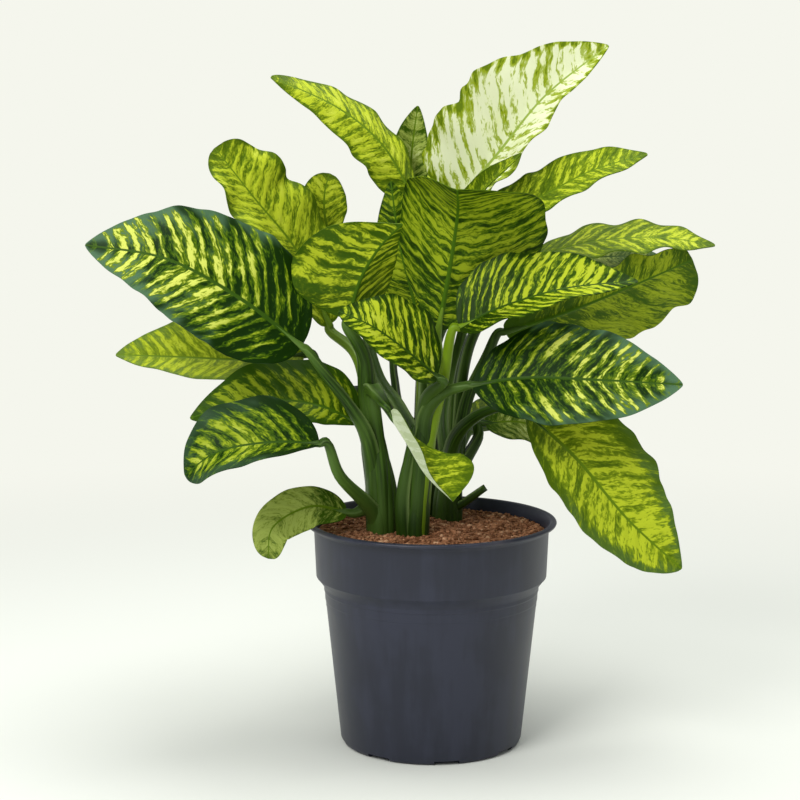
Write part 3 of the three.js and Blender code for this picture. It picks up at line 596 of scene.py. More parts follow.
LEAVES = [
    plan("far_left", "left", "leaf_dark", "deep",
         stalk=[(-51, -14, 262), (-62, -28, 304), (-78, -40, 335), (-98, -46, 362)],
         rib=[(-120, -50, 389), (-174, -66, 434), (-240, -74, 471), (-316, -62, 483)],
         up=(0.2, -0.88, 0.42), width=(54, 64), fold=(8, 8), sag=4, waves=(3, 3)),
    plan("second_left", "left", "leaf_light", "soft",
         stalk=[(-55, -8, 283), (-64, 6, 310), (-86, 18, 337), (-108, 28, 357)],
         rib=[(-123, 32, 371), (-178, 32, 366), (-244, 28, 369), (-303, 20, 372)],
         up=(0, -0.7, 0.71), width=(32, 48), sag=2),
    plan("third_left", "left", "leaf_mid", "bordered",
         stalk=[(-51, -12, 268), (-58, -10, 292)],
         rib=[(-70, -10, 311), (-109, -20, 330), (-168, -30, 336), (-226, -34, 319)],
         up=(0, -0.66, 0.75), width=(32, 44), sag=3, ends=(1.1, 0.85), right_ends=(0.55, 0.85)),
    plan("low_left_dome", "left", "leaf_dark", "shaded",
         stalk=[(-51, -16, 222), (-64, -34, 241), (-85, -64, 271)],
         rib=[(-102, -85, 304), (-146, -98, 307), (-192, -108, 300), (-223, -106, 278)],
         up=(0, -0.67, 0.74), width=(43, 48), fold=(36, 20), sag=5, ends=(1.1, 0.6), right_ends=(0.55, 0.75)),
    plan("small_low_left", "left", "leaf_mid", "greyed",
         stalk=[(-50, -14, 225), (-63, -22, 230)],
         rib=[(-80, -29, 229), (-114, -38, 236), (-148, -45, 218), (-153, -48, 188)],
         up=(-0.3, -0.7, 0.65), tip_up=(-0.6, -0.8, 0.1), width=(21, 23), fold=(8, 8), sag=3, waves=(1.5, 2),
         ends=(0.55, 0.4)),
    plan("upper_left", "left", "leaf_light", "golden",
         stalk=[(-59, -8, 344), (-73, 8, 376)],
         rib=[(-99, 30, 400), (-128, 29, 469), (-169, 22, 522), (-205, 16, 569)],
         up=(0.35, -0.62, 0.7), width=(48, 46), scallop=0.05, waves=(5, 4), ends=(0.55, 0.4),
         stalk_radius=(6.5, 4.5)),
    plan("striped_left", "left", "leaf_mid", "speckled", back="back_gold",
         stalk=[(-59, -8, 342), (-65, -18, 378)],
         rib=[(-77, -32, 412), (-66, -48, 450), (-48, -60, 481), (-27, -72, 503)],
         up=(-0.1, 0.95, 0.2), tip_up=(0, 0.75, 0.65), width=(38, 62), fold=(40, 6), sag=3, ends=(0.6, 1.15),
         lean=(0.9, -0.35)),
    plan("folded_front", "left", "leaf_light", "speckled", back="back_white",
         stalk=[(-58, -11, 338), (-50, -46, 343)],
         rib=[(-38, -90, 334), (-21, -103, 308), (-4, -110, 280), (20, -112, 256)],
         up=(0.7, -0.5, 0.5), width=(42, 15), fold=(35, 78), waves=(1.5, 2), ends=(2.2, 0.35),
         right_ends=(0.3, 1.1)),
    plan("centre_front", "middle", "leaf_dark", "combed",
         stalk=[(-7, -27, 318), (-2, -44, 342)],
         rib=[(5, -68, 363), (-22, -82, 388), (-52, -92, 411), (-84, -94, 426)],
         up=(0.25, -0.62, 0.74), width=(41, 46), fold=(24, 20), sag=2, ends=(0.7, 0.85),
         right_ends=(0.55, 0.85)),
    plan("centre_tall", "middle", "leaf_mid", "speckled", back="back_dark",
         stalk=[(-7, -25, 310), (2, -18, 350), (5, -22, 378)],
         rib=[(6, -28, 402), (16, -36, 458), (23, -60, 511), (22, -120, 536)],
         up=(0, 0.95, 0.3), tip_up=(0, 0.35, 0.94), width=(84, 62), fold=(8, 40), sag=3, ends=(0.85, 0.7),
         lean=(0.05, 0.3)),
    plan("centre_behind", "middle", "leaf_dark", "shaded", back="back_dark",
         stalk=[(-6, -26, 322), (-6, -10, 362)],
         rib=[(-10, 0, 398), (-20, 4, 438), (-31, 10, 482), (-39, 14, 538)],
         up=(0, 0.9, 0.3), width=(32, 30)),
    plan("right_yellow", "middle", "leaf_light", "combed",
         stalk=[(-8, -28, 290), (2, -31, 322), (11, -40, 360)],
         rib=[(25, -62, 408), (63, -67, 427), (121, -65, 444), (188, -54, 450)],
         up=(-0.1, -0.6, 0.8), width=(48, 40), fold=(28, 30), sag=2),
    plan("right_dark", "middle", "leaf_dark", "deep",
         stalk=[(-9, -28, 283), (-5, -36, 323), (10, -50, 345)],
         rib=[(38, -62, 355), (88, -80, 364), (154, -95, 364), (226, -95, 360)],
         up=(0, -0.84, 0.54), width=(52, 46), fold=(10, 10), sag=4, waves=(3, 3), ends=(0.8, 0.85)),
    plan("right_hanging", "right", "leaf_mid", "hanging",
         stalk=[(14, 37, 248), (23, 22, 290), (41, -2, 316), (66, -24, 330)],
         rib=[(90, -40, 324), (133, -62, 287), (180, -78, 233), (230, -80, 187)],
         up=(0.3, -0.85, 0.4), width=(57, 42), fold=(12, 12), sag=3, scallop=0.03, waves=(3, 4),
         ends=(0.7, 0.9), right_ends=(0.85, 0.7)),
    plan("right_pale", "right", "leaf_mid", "speckled", back="back_pale",
         stalk=[(20, 34, 280), (34, 36, 328), (53, 34, 370)],
         rib=[(70, 30, 394), (128, 22, 414), (186, 18, 438), (246, 12, 465)],
         up=(-0.3, 0.85, 0.4), width=(62, 27), fold=(8, 8), scallop=0.05, waves=(4, 4), ends=(0.5, 0.33)),
    plan("right_low_behind", "right", "leaf_dark", "hazy", back="back_dark",
         stalk=[(17, 37, 244), (33, 37, 268), (45, 38, 290)],
         rib=[(52, 42, 303), (88, 46, 303), (128, 50, 288), (164, 54, 262)],
         up=(0, -0.6, 0.8), width=(34, 34), fold=(22, 22), sag=2),
    plan("right_level", "right", "leaf_mid", "speckled",
         stalk=[(20, 34, 284), (27, 42, 336), (39, 52, 386), (70, 50, 438)],
         rib=[(98, 40, 465), (152, 30, 480), (212, 20, 485), (267, 12, 478)],
         up=(0, -0.28, 0.96), width=(42, 40), fold=(5, 5), sag=2, waves=(2.5, 4), ends=(0.55, 0.7)),
    plan("top_left_long", "back", "leaf_light", "golden",
         stalk=[(-4, 62, 400), (-6, 56, 450), (-10, 46, 490)],
         rib=[(-16, 40, 518), (-46, 28, 570), (-88, 14, 606), (-150, 0, 635)],
         up=(0.45, -0.7, 0.55), width=(28, 36), fold=(-22, -22), waves=(2, 4), ends=(0.45, 0.85),
         right_ends=(0.55, 0.75)),
    plan("top_right_bright", "back", "leaf_cream", "cream", back="back_cream",
         stalk=[(-3, 61, 405), (4, 58, 460)],
         rib=[(20, 50, 514), (60, 42, 560), (106, 30, 617), (164, 15, 664)],
         up=(-0.4, -0.8, 0.4), width=(68, 46), fold=(35, 35), scallop=0.06, waves=(4, 4), ends=(0.42, 0.8),
         right_ends=(0.55, 0.8)),
    plan("small_rolled", "back", "leaf_mid", "plain",
         stalk=[(-3, 61, 412), (8, 26, 462), (20, 0, 492)],
         rib=[(29, -14, 510), (43, -17, 527), (60, -20, 545), (82, -22, 565)],
         up=(-0.5, -0.7, 0.5), width=(14, 14), fold=(50, 50), waves=(0.5, 2)),
    plan("right_upper", "back", "leaf_light", "speckled",
         stalk=[(-3, 61, 392), (12, 46, 446), (30, 24, 490)],
         rib=[(48, 12, 511), (96, 6, 522), (148, 0, 548), (200, -5, 564)],
         up=(-0.3, -0.55, 0.78), width=(30, 31), fold=(15, 15), waves=(2, 4), ends=(0.65, 0.8)),
    plan("right_behind", "back", "leaf_dark", "dull",
         stalk=[(-3, 61, 376), (30, 78, 420), (70, 82, 444)],
         rib=[(106, 80, 452), (142, 78, 460), (186, 74, 463), (226, 70, 461)],
         up=(0, -0.6, 0.8), width=(22, 24), fold=(10, 10), waves=(1.5, 3)),
    plan("small_behind_left", "back", "leaf_light", "golden",
         stalk=[(-5, 63, 284), (-31, 66, 314), (-37, 70, 345), (-42, 74, 382), (-66, 80, 434)],
         rib=[(-100, 84, 480), (-105, 84, 502), (-105, 82, 524), (-100, 80, 543)],
         up=(0, -0.9, 0.4), width=(20, 21), fold=(10, 10), waves=(1, 2), ends=(0.6, 0.5),
         stalk_radius=(5, 2.2)),
    plan("young_top", "back", "leaf_mid", "hazy",
         stalk=[(-3, 61, 412), (-17, 74, 472)],
         rib=[(-22, 80, 522), (-21, 80, 550), (-18, 76, 580), (-14, 70, 608)],
         up=(0, -0.9, 0.4), width=(20, 17), fold=(25, 25), waves=(1, 2)),
    plan("back_left", "middle", "leaf_mid", "speckled",
         stalk=[(-11, -27, 282), (-32, 8, 321), (-51, 38, 346), (-63, 68, 385)],
         rib=[(-66, 86, 408), (-98, 118, 434), (-138, 150, 442), (-180, 182, 424)],
         up=(-0.2, -0.1, 0.95), width=(46, 46), fold=(14, 14), sag=5, waves=(3, 3)),
    plan("back_middle", "back", "leaf_light", "golden",
         stalk=[(-4, 62, 352), (-10, 86, 402)],
         rib=[(-14, 108, 430), (-18, 146, 452), (-22, 194, 450), (-26, 240, 420)],
         up=(0, -0.1, 0.95), width=(50, 50), fold=(14, 14), sag=5, waves=(3, 3)),
    plan("back_right", "right", "leaf_dark", "shaded", back="back_dark",
         stalk=[(16, 37, 258), (13, 56, 306), (24, 82, 360)],
         rib=[(44, 104, 418), (84, 128, 440), (130, 154, 440), (176, 178, 416)],
         up=(0.1, 0, 0.95), width=(46, 46), fold=(14, 14), sag=5, waves=(3, 3)),
    plan("back_low_left", "left", "leaf_dark", "shaded", back="back_dark",
         stalk=[(-50, -13, 250), (-58, 14, 272), (-64, 46, 288)],
         rib=[(-72, 78, 298), (-98, 108, 318), (-130, 140, 318), (-162, 170, 290)],
         up=(-0.1, 0, 0.95), width=(38, 38), fold=(14, 14), sag=5, waves=(3, 3)),
    plan("back_high", "back", "leaf_light", "combed",
         stalk=[(-3, 61, 398), (-2, 76, 452)],
         rib=[(2, 92, 496), (10, 118, 534), (20, 156, 556), (34, 206, 556)],
         up=(0, -0.3, 0.9), width=(44, 46), fold=(14, 14), sag=4, waves=(3, 3)),
    plan("back_low_right", "right", "leaf_mid", "speckled",
         stalk=[(15, 38, 240), (24, 66, 266)],
         rib=[(40, 98, 286), (70, 130, 300), (104, 162, 296), (138, 192, 266)],
         up=(0.1, 0, 0.95), width=(38, 38), fold=(14, 14), sag=5, waves=(3, 3)),
]
print(len(LEAVES), "leaves in the table")

# %% [markdown]
# The shape of a blade
#
# A blade is a thin sheet. It could be cut from a plane and bent with modifiers, but the veins, the midrib
# and the streaks all follow the blade's own directions, so each blade starts as a flat grid whose points
# know how far along and across they lie. An extrusion doubles the grid, and then every point is carried to
# its place on the upper face or the underside. Side veins sink a little and the blade swells between them,
# the midrib is a groove above and a round ridge below, and small ripples run along the edge.

# %% Blade measures
BLADE_THICKNESS = 0.8
BASE_HALF = 3.2
TIP_HALF = 0.9
RIB_DEPTH = 2.4
RIB_WIDTH = 2.3
RIB_FADE = 0.8
RIB_ROUND = 6.0
GROOVE_DEPTH = 0.7
GROOVE_WIDTH = 1.6
WAVE_OFFSET = 0.3
ROW_LENGTH = 2.0
COLUMNS = 17
COLUMN_POWER = 1.35
VEIN_PITCH = 11.5
VEIN_PITCH_WIDTH = 46
VEIN_PITCH_GROWTH = 0.4
VEIN_BEND = 0.004
VEINS_APART = 60
QUILT = 0.5
QUILT_STARTS = (1.5, 7.0)
RIPPLE = 0.9
RIPPLE_LENGTH = 17.0
RIPPLE_SPREAD = (5.0, 3.1)
SCALLOP_LENGTH = 15.0
SCALLOP_SPREAD = (9.0, 1.7)
print("a blade has", 2 * COLUMNS + 1, "columns of points")


# %% Blade shape
def outline_at(s, ends):
    """Half width of the blade as a share of its widest, at s along it."""
    base, tip = ends
    widest = base / (base + tip)
    return (s ** base * (1 - s) ** tip) / (widest ** base * (1 - widest) ** tip)


def blade_rows(leaf, count):
    """What every point of a row across the blade shares, for rows that lie closer near the two ends."""
    route = Route(leaf["rib"])
    length = route.length()
    rows = []
    for i in range(count + 1):
        even = i / count
        s = 0.5 * even + 0.25 * (1 - math.cos(math.pi * even))
        along = route.direction(s)
        up = square_to(along, Vector(leaf["up"]).lerp(Vector(leaf.get("tip_up", leaf["up"])), s))
        full = [outline_at(s, ends) for ends in (leaf["ends"], leaf.get("right_ends", leaf["ends"]))]
        halves = [w * f + BASE_HALF * (1 - s) + TIP_HALF * s for w, f in zip(leaf["width"], full)]
        rows.append(dict(s=s, centre=route.point(s), up=up, right=along.cross(up), full=full, halves=halves,
                         reached=length * s))
    return rows


def edge_noise(row, side, seed, length, spread):
    """Noise along a blade's edge. spread sets the halves of a blade, and the blades, apart in it."""
    return 2 * noise.noise(Vector((row["reached"] / length, side * spread[0], seed * spread[1])))


def blade_point(leaf, row, v, face, seed):
    """A point of the blade in metres, and its place among the veins. face is 1 above and -1 below."""
    half = 0 if v < 0 else 1
    side = -1 if v < 0 else 1
    share = abs(v)
    full = row["full"][half]
    uneven = leaf["scallop"] * edge_noise(row, side, seed, SCALLOP_LENGTH, SCALLOP_SPREAD)
    reach = share * (row["halves"][half] * (1 + uneven))

    fold = math.radians(leaf["fold"][half])
    rounded = math.hypot(reach, RIB_ROUND)
    wave_height, wave_count = leaf["waves"]
    turn = math.tau * (wave_count * row["s"] + WAVE_OFFSET * half)
    height = math.sin(fold) * (rounded - RIB_ROUND) - leaf["sag"] * share ** 2 * full
    height += wave_height * full * share ** 2 * math.sin(turn)
    height += RIPPLE * full * share ** 3 * edge_noise(row, side, seed, RIPPLE_LENGTH, RIPPLE_SPREAD)

    pitch = VEIN_PITCH * (max(leaf["width"]) / VEIN_PITCH_WIDTH) ** VEIN_PITCH_GROWTH
    vein = (row["reached"] - leaf["lean"][half] * reach - VEIN_BEND * reach ** 2) / pitch
    quilt = smooth_step(*QUILT_STARTS, reach) * (1 - share ** 4) * full
    height -= QUILT * quilt * math.cos(math.tau * vein)

    up, right = row["up"], row["right"]
    normal = (up * math.cos(fold) - right * (side * math.sin(fold) * reach / rounded)).normalized()
    depth, spread = (RIB_DEPTH, RIB_WIDTH) if face < 0 else (GROOVE_DEPTH, GROOVE_WIDTH)
    offset = face * BLADE_THICKNESS / 2 - depth * (1 - RIB_FADE * row["s"]) * bell(reach, spread)
    point = row["centre"] + right * (side * reach * math.cos(fold)) + up * height + normal * offset
    return point * MM, (vein + VEINS_APART * seed, reach / pitch)


row = blade_rows(LEAVES[0], 10)[5]
print("the first blade is", round(sum(row["halves"]), 1), "mm wide in the middle")

# %% Make the blades
def make_blade(leaf, seed):
    bm = bmesh.new()
    row_count = round(Route(leaf["rib"]).length() / ROW_LENGTH)
    rows = blade_rows(leaf, row_count)
    bmesh.ops.create_grid(bm, x_segments=2 * COLUMNS, y_segments=row_count, size=1)
    row_of = bm.verts.layers.int.new("row")
    across = bm.verts.layers.float.new("across")
    for vert in bm.verts:
        vert[row_of] = round((vert.co.y + 1) / 2 * row_count)
        vert[across] = math.copysign(abs(vert.co.x) ** COLUMN_POWER, vert.co.x)
    under = bm.faces[:]
    raised = bmesh.ops.extrude_face_region(bm, geom=under, use_keep_orig=True)["geom"]
    upper = {g for g in raised if isinstance(g, bmesh.types.BMFace)}
    upper_verts = {v for face in upper for v in face.verts}
    lower = set(under)

    veins = bm.loops.layers.uv.new("Veins")
    blade = bm.loops.layers.uv.new("Blade")
    places = {}
    for vert in bm.verts:
        face = 1 if vert in upper_verts else -1
        row = rows[vert[row_of]]
        vert.co, place = blade_point(leaf, row, vert[across], face, seed)
        places[vert] = (place, (0.5 + 0.5 * vert[across], row["s"]))
    for face in bm.faces:
        face.smooth = True
        face.material_index = 1 if face in lower else 0
        for loop in face.loops:
            loop[veins].uv, loop[blade].uv = places[loop.vert]
    for edge in bm.edges:
        rims = [f for f in edge.link_faces if f not in upper and f not in lower]
        edge.smooth = len(rims) != 1
    bmesh.ops.recalc_face_normals(bm, faces=bm.faces[:])
    finishes = [FINISHES[leaf["face"]], FINISHES[leaf["back"]]]
    return make_piece(bm, "blade_" + leaf["name"], "leaf_" + leaf["name"], finishes)


blades = [make_blade(leaf, seed) for seed, leaf in enumerate(LEAVES)]
print(len(blades), "blades,", sum(len(b.data.polygons) for b in blades), "faces")

# %% [markdown]
# Shoots
#
# Dieffenbachia stalks are fleshy, with a shallow channel along their upper side. In their lower half the
# channel's edges stand up as thin wings, and at the foot the stalks hug the cane as sheaths, so that a
# shoot looks like a bundle of stalks that part one after the other. A tube from a curve with a bevel would
# be plain round, so each stem is a grid that is rolled up round its route: the radius follows a formula
# round the stem and along it.

# %% Stem measures
# Each cane's way, and its radii at the foot and the top
CANES = {
    "left": ([(-48, -14, 120), (-48, -14, 215), (-51, -12, 275), (-60, -8, 350)], (15, 7)),
    "middle": ([(-17, -30, 120), (-17, -30, 215), (-12, -28, 270), (-8, -26, 330)], (13.5, 7)),
    "right": ([(15, 38, 120), (15, 38, 215), (17, 37, 250), (20, 34, 290)], (15.5, 7)),
    "back": ([(-6, 64, 120), (-6, 64, 215), (-5, 63, 300), (-3, 61, 420)], (12, 6.5)),
}
# Painted shade: how far each cane, its old sheaths and its stalks that are not young are darkened
CANE_PAINTED_SHADE = {"left": -0.1, "middle": -0.5, "right": -0.2, "back": -0.5}
CANE_SIDES = 40
CANE_STEP = 5.0
CANE_SHRINK = 2.5
CANE_TOP = 0.93
CANE_NARROWS = 0.6

# Old sheaths: the way that each looks, in degrees, and how high it reaches
OLD_SHEATHS = {
    "left": [(-100, 262), (-25, 316), (0, 290), (80, 250)],
    "middle": [(-160, 302), (180, 316), (-75, 262), (-20, 296), (60, 270), (140, 250)],
    "right": [(-120, 262), (-60, 275), (-15, 290), (160, 268)],
    "back": [(-90, 300), (0, 262)],
}
WIDE_SHEATHS = {("left", 0): 3.0, ("middle", -160): 5.5, ("middle", 180): 3.0}
SHEATH_FOOT_Z = 192
SHEATH_FOOT = 7.6
SHEATH_OUT = 6.5
SHEATH_LEAVES = 0.7
OLD_SHEATH_OUT = ((8.0, 0), (7.0, 1), (4.0, 0.5))
OLD_SHEATH_TOP = 0.94
OLD_SHEATH_NARROWS = (0.6, 0.9)
OLD_RIM = (2.0, 0.2)

STALK_LEAD = 8
STALK_DROP = 0.4
STALK_TAPER = 0.8
STALK_TIP = 0.7
STALK_SIDES = 28
STALK_STEP = 4.0
UNDER_BLADE = ((0.07, 1.6), (0.16, 1.0))
CHANNEL_DEPTH = 0.3
CHANNEL_WIDTH = 0.5
CHANNEL_TOP = 0.9
CHANNEL_TILT = 0.7
WING_HEIGHT = 0.34
WING_FADE = (0.15, 0.6)
WING_RIM = (0.85, 0.16)
RIM_REST = 0.25

# A cut-off stalk, and how deep and wide it is hollowed
STUB = dict(cane="right", path=[(12, 36, 218), (28, 32, 225), (51, 28, 242)], radii=(6, 4), steps=12)
STUB_HOLLOW = (0.45, 0.6)
STUB_CUT = 1.6
STUB_RIM = (0.9, 0.2)

YOUNG_STALKS = {"right_yellow": 1.0, "centre_tall": 0.6, "upper_left": 0.5, "top_left_long": 0.7}
STEM_UV_LENGTH = 100
print(len(CANES), "canes and", sum(len(sheaths) for sheaths in OLD_SHEATHS.values()), "old sheaths")


# %% Stem shapes
def roll_stem(bm, layers, sides, steps, ring, youth_and_shade):
    """Rolls a grid into a closed stem. ring(t, angle) gives a point in millimetres, its UV and paleness."""
    stem_map, pale_layer, youth_and_shade_layer = layers
    verts = bmesh.ops.create_grid(bm, x_segments=sides, y_segments=steps, size=1)["verts"]
    faces = {face for vert in verts for face in vert.link_faces}
    places = {}
    for vert in verts:
        t = (vert.co.y + 1) / 2
        point, places[vert], vert[pale_layer] = ring(t, math.pi * vert.co.x)
        vert.co = point * MM
        vert[youth_and_shade_layer] = youth_and_shade
    for face in faces:
        face.smooth = True
        for loop in face.loops:
            loop[stem_map].uv = places[loop.vert]
    bmesh.ops.remove_doubles(bm, verts=verts, dist=1e-6)
    open_edges = [e for e in bm.edges if e.is_boundary]
    bmesh.ops.holes_fill(bm, edges=open_edges, sides=0)


def around(route, t, front, angle, radius):
    """The point that lies radius from a route, at an angle counted from front."""
    front = square_to(route.direction(t), front)
    side = route.direction(t).cross(front)
    return route.point(t) + (front * math.cos(angle) + side * math.sin(angle)) * radius


def point_at_height(route, z):
    low, high = 0.0, 1.0
    for _ in range(20):
        middle = (low + high) / 2
        low, high = (middle, high) if route.point(middle).z < z else (low, middle)
    return route.point(low)


def rim_at(angle, rim):
    """How near an angle lies to one of the two rims of a channel."""
    return bell(abs(angle) - rim[0], rim[1])


def stalk_ring(leaf):
    """The shape of a leaf's stalk, from its sheath in the soil to where it fades out under the midrib."""
    rib = Route(leaf["rib"])
    base = rib.point(0)
    up = square_to(rib.direction(0), Vector(leaf["up"]))
    cane = Route(CANES[leaf["cane"]][0])
    leaves_cane = Vector(leaf["stalk"][0])
    heading = ((base - leaves_cane) * Vector((1, 1, 0))).normalized()
    half_way = (SHEATH_FOOT_Z + leaves_cane.z) / 2
    sheath = [point_at_height(cane, z) + heading * SHEATH_OUT for z in (SHEATH_FOOT_Z, half_way)]
    sheath.append(leaves_cane + heading * SHEATH_OUT * SHEATH_LEAVES)
    free = [Vector(p) for p in leaf["stalk"][1:]]
    free += [base - STALK_LEAD * rib.direction(0), base - up * STALK_DROP]
    fading = [rib.point(s) - up * drop for s, drop in UNDER_BLADE]
    route = Route(sheath + free + fading)
    last = len(route.points) - 1
    leaving = (len(sheath) - 1) / last
    joining = (last - len(fading)) / last
    inward = Vector((0, 0, CHANNEL_TILT)) - heading * CHANNEL_TILT
    length = route.length()
    root, end = leaf["stalk_radius"]

    def ring(t, angle):
        share = min(max((t - leaving) / (joining - leaving), 0.0), 1.0)
        radius = root + (end - root) * share ** STALK_TAPER
        if t < leaving:
            radius = SHEATH_FOOT + (root - SHEATH_FOOT) * t / leaving
        if t > joining:
            radius += (STALK_TIP - end) * (t - joining) / (1 - joining)
        wing = 1 - smooth_step(*WING_FADE, share)
        rim = rim_at(angle, WING_RIM)
        channel = bell(angle, CHANNEL_WIDTH) * (1 - smooth_step(CHANNEL_TOP, 1.0, share))
        radius *= 1 - CHANNEL_DEPTH * channel + WING_HEIGHT * wing * rim
        point = around(route, t, inward.lerp(up, share ** 2), angle, radius)
        paleness = rim * (RIM_REST + (1 - RIM_REST) * wing)
        return point, (angle / math.tau, t * length / STEM_UV_LENGTH), paleness

    return ring, round(length / STALK_STEP)


def old_sheath_ring(name, heading, top_z):
    """The foot of a stalk that is gone: a sheath that hugs the cane and thins out upwards."""
    cane = Route(CANES[name][0])
    out = Vector((math.cos(math.radians(heading)), math.sin(math.radians(heading)), 0))
    heights = [SHEATH_FOOT_Z + (top_z - SHEATH_FOOT_Z) * share for share in (0, 0.5, 1)]
    extra = WIDE_SHEATHS.get((name, heading), 0.0)
    offsets = [offset + extra * share for offset, share in OLD_SHEATH_OUT]
    route = Route([point_at_height(cane, z) + out * offset for z, offset in zip(heights, offsets)])
    length = route.length()
    slowly, at_top = OLD_SHEATH_NARROWS

    def ring(t, angle):
        radius = SHEATH_FOOT * (1 - slowly * t ** 3)
        radius *= 1 - at_top * smooth_step(OLD_SHEATH_TOP, 1.0, t)
        rim = rim_at(angle, OLD_RIM)
        point = around(route, t, -out, angle + math.pi, radius + rim)
        return point, (angle / math.tau, t * length / STEM_UV_LENGTH), rim

    return ring, round(length / STALK_STEP)


def cane_ring(name):
    """The shape of a cane, whose top fades out among the stalks."""
    path, (foot, top) = CANES[name]
    route = Route(path)
    length = route.length()

    def ring(t, angle):
        radius = foot + (top - foot) * t - CANE_SHRINK
        radius *= 1 - CANE_NARROWS * smooth_step(CANE_TOP, 1.0, t)
        point = around(route, t, Vector((1, 0, 0)), angle, radius)
        return point, (angle / math.tau * 2, t * length / STEM_UV_LENGTH), 0.0

    return ring, round(length / CANE_STEP)


def stub_ring():
    """The cut-off stalk at the foot of one shoot, hollow along its upper side."""
    route = Route(STUB["path"])
    root, end = STUB["radii"]
    depth, width = STUB_HOLLOW

    def ring(t, angle):
        radius = (root + (end - root) * t) * (1 - depth * bell(angle, width))
        cut = route.direction(t) * (STUB_CUT * t ** 4 * math.cos(2 * angle))
        point = around(route, t, Vector((0, 0, 1)), angle, radius) + cut
        return point, (angle / math.tau, t * 0.4), rim_at(angle, STUB_RIM)

    return ring, STUB["steps"]


print("the longest stalk has", max(stalk_ring(leaf)[1] for leaf in LEAVES), "steps")

# %% [markdown]
# The skin of the stems
#
# The skin is green with darker and paler lines along the stem. It is darkened towards the soil, painted
# shade, and pale on the thin edges of the sheaths. Noise on the place in space would cut straight across a
# bend, so the lines are noise on the stem's own UV map, stretched along it. The mesh carries two more numbers
# at each vertex: pale marks the thin edges, and the other makes a young stalk bright and darkens the canes,
# old sheaths and older stalks with painted shade.

# %% Stem finish
STEM_GREEN = linear(50, 80, 12)
STEM_DEEP = linear(26, 48, 4)
STEM_LIGHT = linear(88, 120, 46)
STEM_RIM = linear(140, 166, 96)
STEM_YOUNG = linear(120, 150, 24)
STEM_SHADE_HEIGHTS = (0.275, 0.205)

stem_finish, tree, shader = new_material("fleshy green stem", roughness=0.42, specular=0.18)
stretched = node(tree, "ShaderNodeMapping", uv_place(tree, "Stem"), None, None, (9.0, 1.0, 1.0))
lines = speckle(stretched, scale=1.6, detail=3.0, roughness=0.6)
place = object_place(tree)
clouds = speckle(place, scale=14.0, detail=1.0)
youth_and_shade = vertex_value(tree, "youth_and_shade")
colour = paint(
    STEM_GREEN,
    (mask(lines, 0.44, 0.60), STEM_DEEP),
    (mask(clouds, 0.38, 0.70), STEM_LIGHT),
    (mask(lines, 0.44, 0.30), STEM_LIGHT),
    (youth_and_shade, STEM_YOUNG),
    # Below 0 the stem is darkened: painted shade. Above 0 a young stalk is bright
    (youth_and_shade * -1.0, STEM_DEEP),
    # Darker towards the soil: painted shade
    (mask(split(place)[2], *STEM_SHADE_HEIGHTS) * 0.5, STEM_DEEP),
    (vertex_value(tree, "pale") * 0.85, STEM_RIM),
)
feed(shader["Base Color"], colour)
add_bump(shader, lines, strength=0.3, distance=0.0006)
print("the stem finish has", len(tree.nodes), "nodes")


# %% Make the shoots
def make_shoot(name):
    """A cane with its stalks, its old sheaths and its stub if it has one."""
    bm = bmesh.new()
    floats = bm.verts.layers.float
    floats.new("pale")
    floats.new("youth_and_shade")
    layers = (bm.loops.layers.uv.new("Stem"), floats["pale"], floats["youth_and_shade"])
    # The cane's painted shade, also given to its old sheaths, its stub and its stalks that are not young
    cane_shade = CANE_PAINTED_SHADE[name]
    stems = [(CANE_SIDES, cane_ring(name), cane_shade)]
    for leaf in LEAVES:
        if leaf["cane"] == name:
            stems.append((STALK_SIDES, stalk_ring(leaf), YOUNG_STALKS.get(leaf["name"], cane_shade)))
    stems += [(STALK_SIDES, old_sheath_ring(name, *sheath), cane_shade) for sheath in OLD_SHEATHS[name]]
    if STUB["cane"] == name:
        stems.append((STALK_SIDES, stub_ring(), cane_shade))
    for sides, (ring, steps), youth_and_shade in stems:
        roll_stem(bm, layers, sides, steps, ring, youth_and_shade)
    bmesh.ops.recalc_face_normals(bm, faces=bm.faces[:])
    return make_piece(bm, "stems_" + name, "shoot_" + name, [stem_finish])


shoots = [make_shoot(name) for name in CANES]
print(len(shoots), "shoots,", sum(len(s.data.polygons) for s in shoots), "faces")

# %% [markdown]
# Pot
#
# The pot is a thin moulded shell, the same all the way round, so its section is drawn once and spun. A
# bevel then rounds the edges that the mould rounds. Eight slots in the bottom edge and eight holes in the
# floor let water out: each is cut with a boolean, which is applied at once. The plastic is a blue-black
# that is satin, not glossy, with a fine grain, faint streaks down the wall and a little soil dust near the
# lip.

# %% Pot section
POT_HEIGHT = 217
LIP_RADIUS = 120
LIP_BEAD = 4
LIP_ROUND = 1
COLLAR_TOP = 112.5
COLLAR_FOOT = 110.5
COLLAR_FOOT_Z = 163
COLLAR_ROUND = 1.5
SHOULDER = 103
SHOULDER_Z = 154
FOOT = 87.5
FOOT_CORNER = 5
FOOT_FLAT = 0.8
FOOT_SLANT = 0.3
WALL = 2.2
INNER_CORNER = 3
FLOOR = 4.5
RINGS = [(149, 0.63), (140, 0.42), (134, 0.21)]
UNDERSIDE_RECESS = 1.5
FOOT_RING = 70
PAD = 26
RECESS_SLOPE = 2
POT_STEPS = 144


def wall_radius(z):
    return FOOT + (SHOULDER - FOOT) / (SHOULDER_Z - FOOT_CORNER) * (z - FOOT_CORNER)


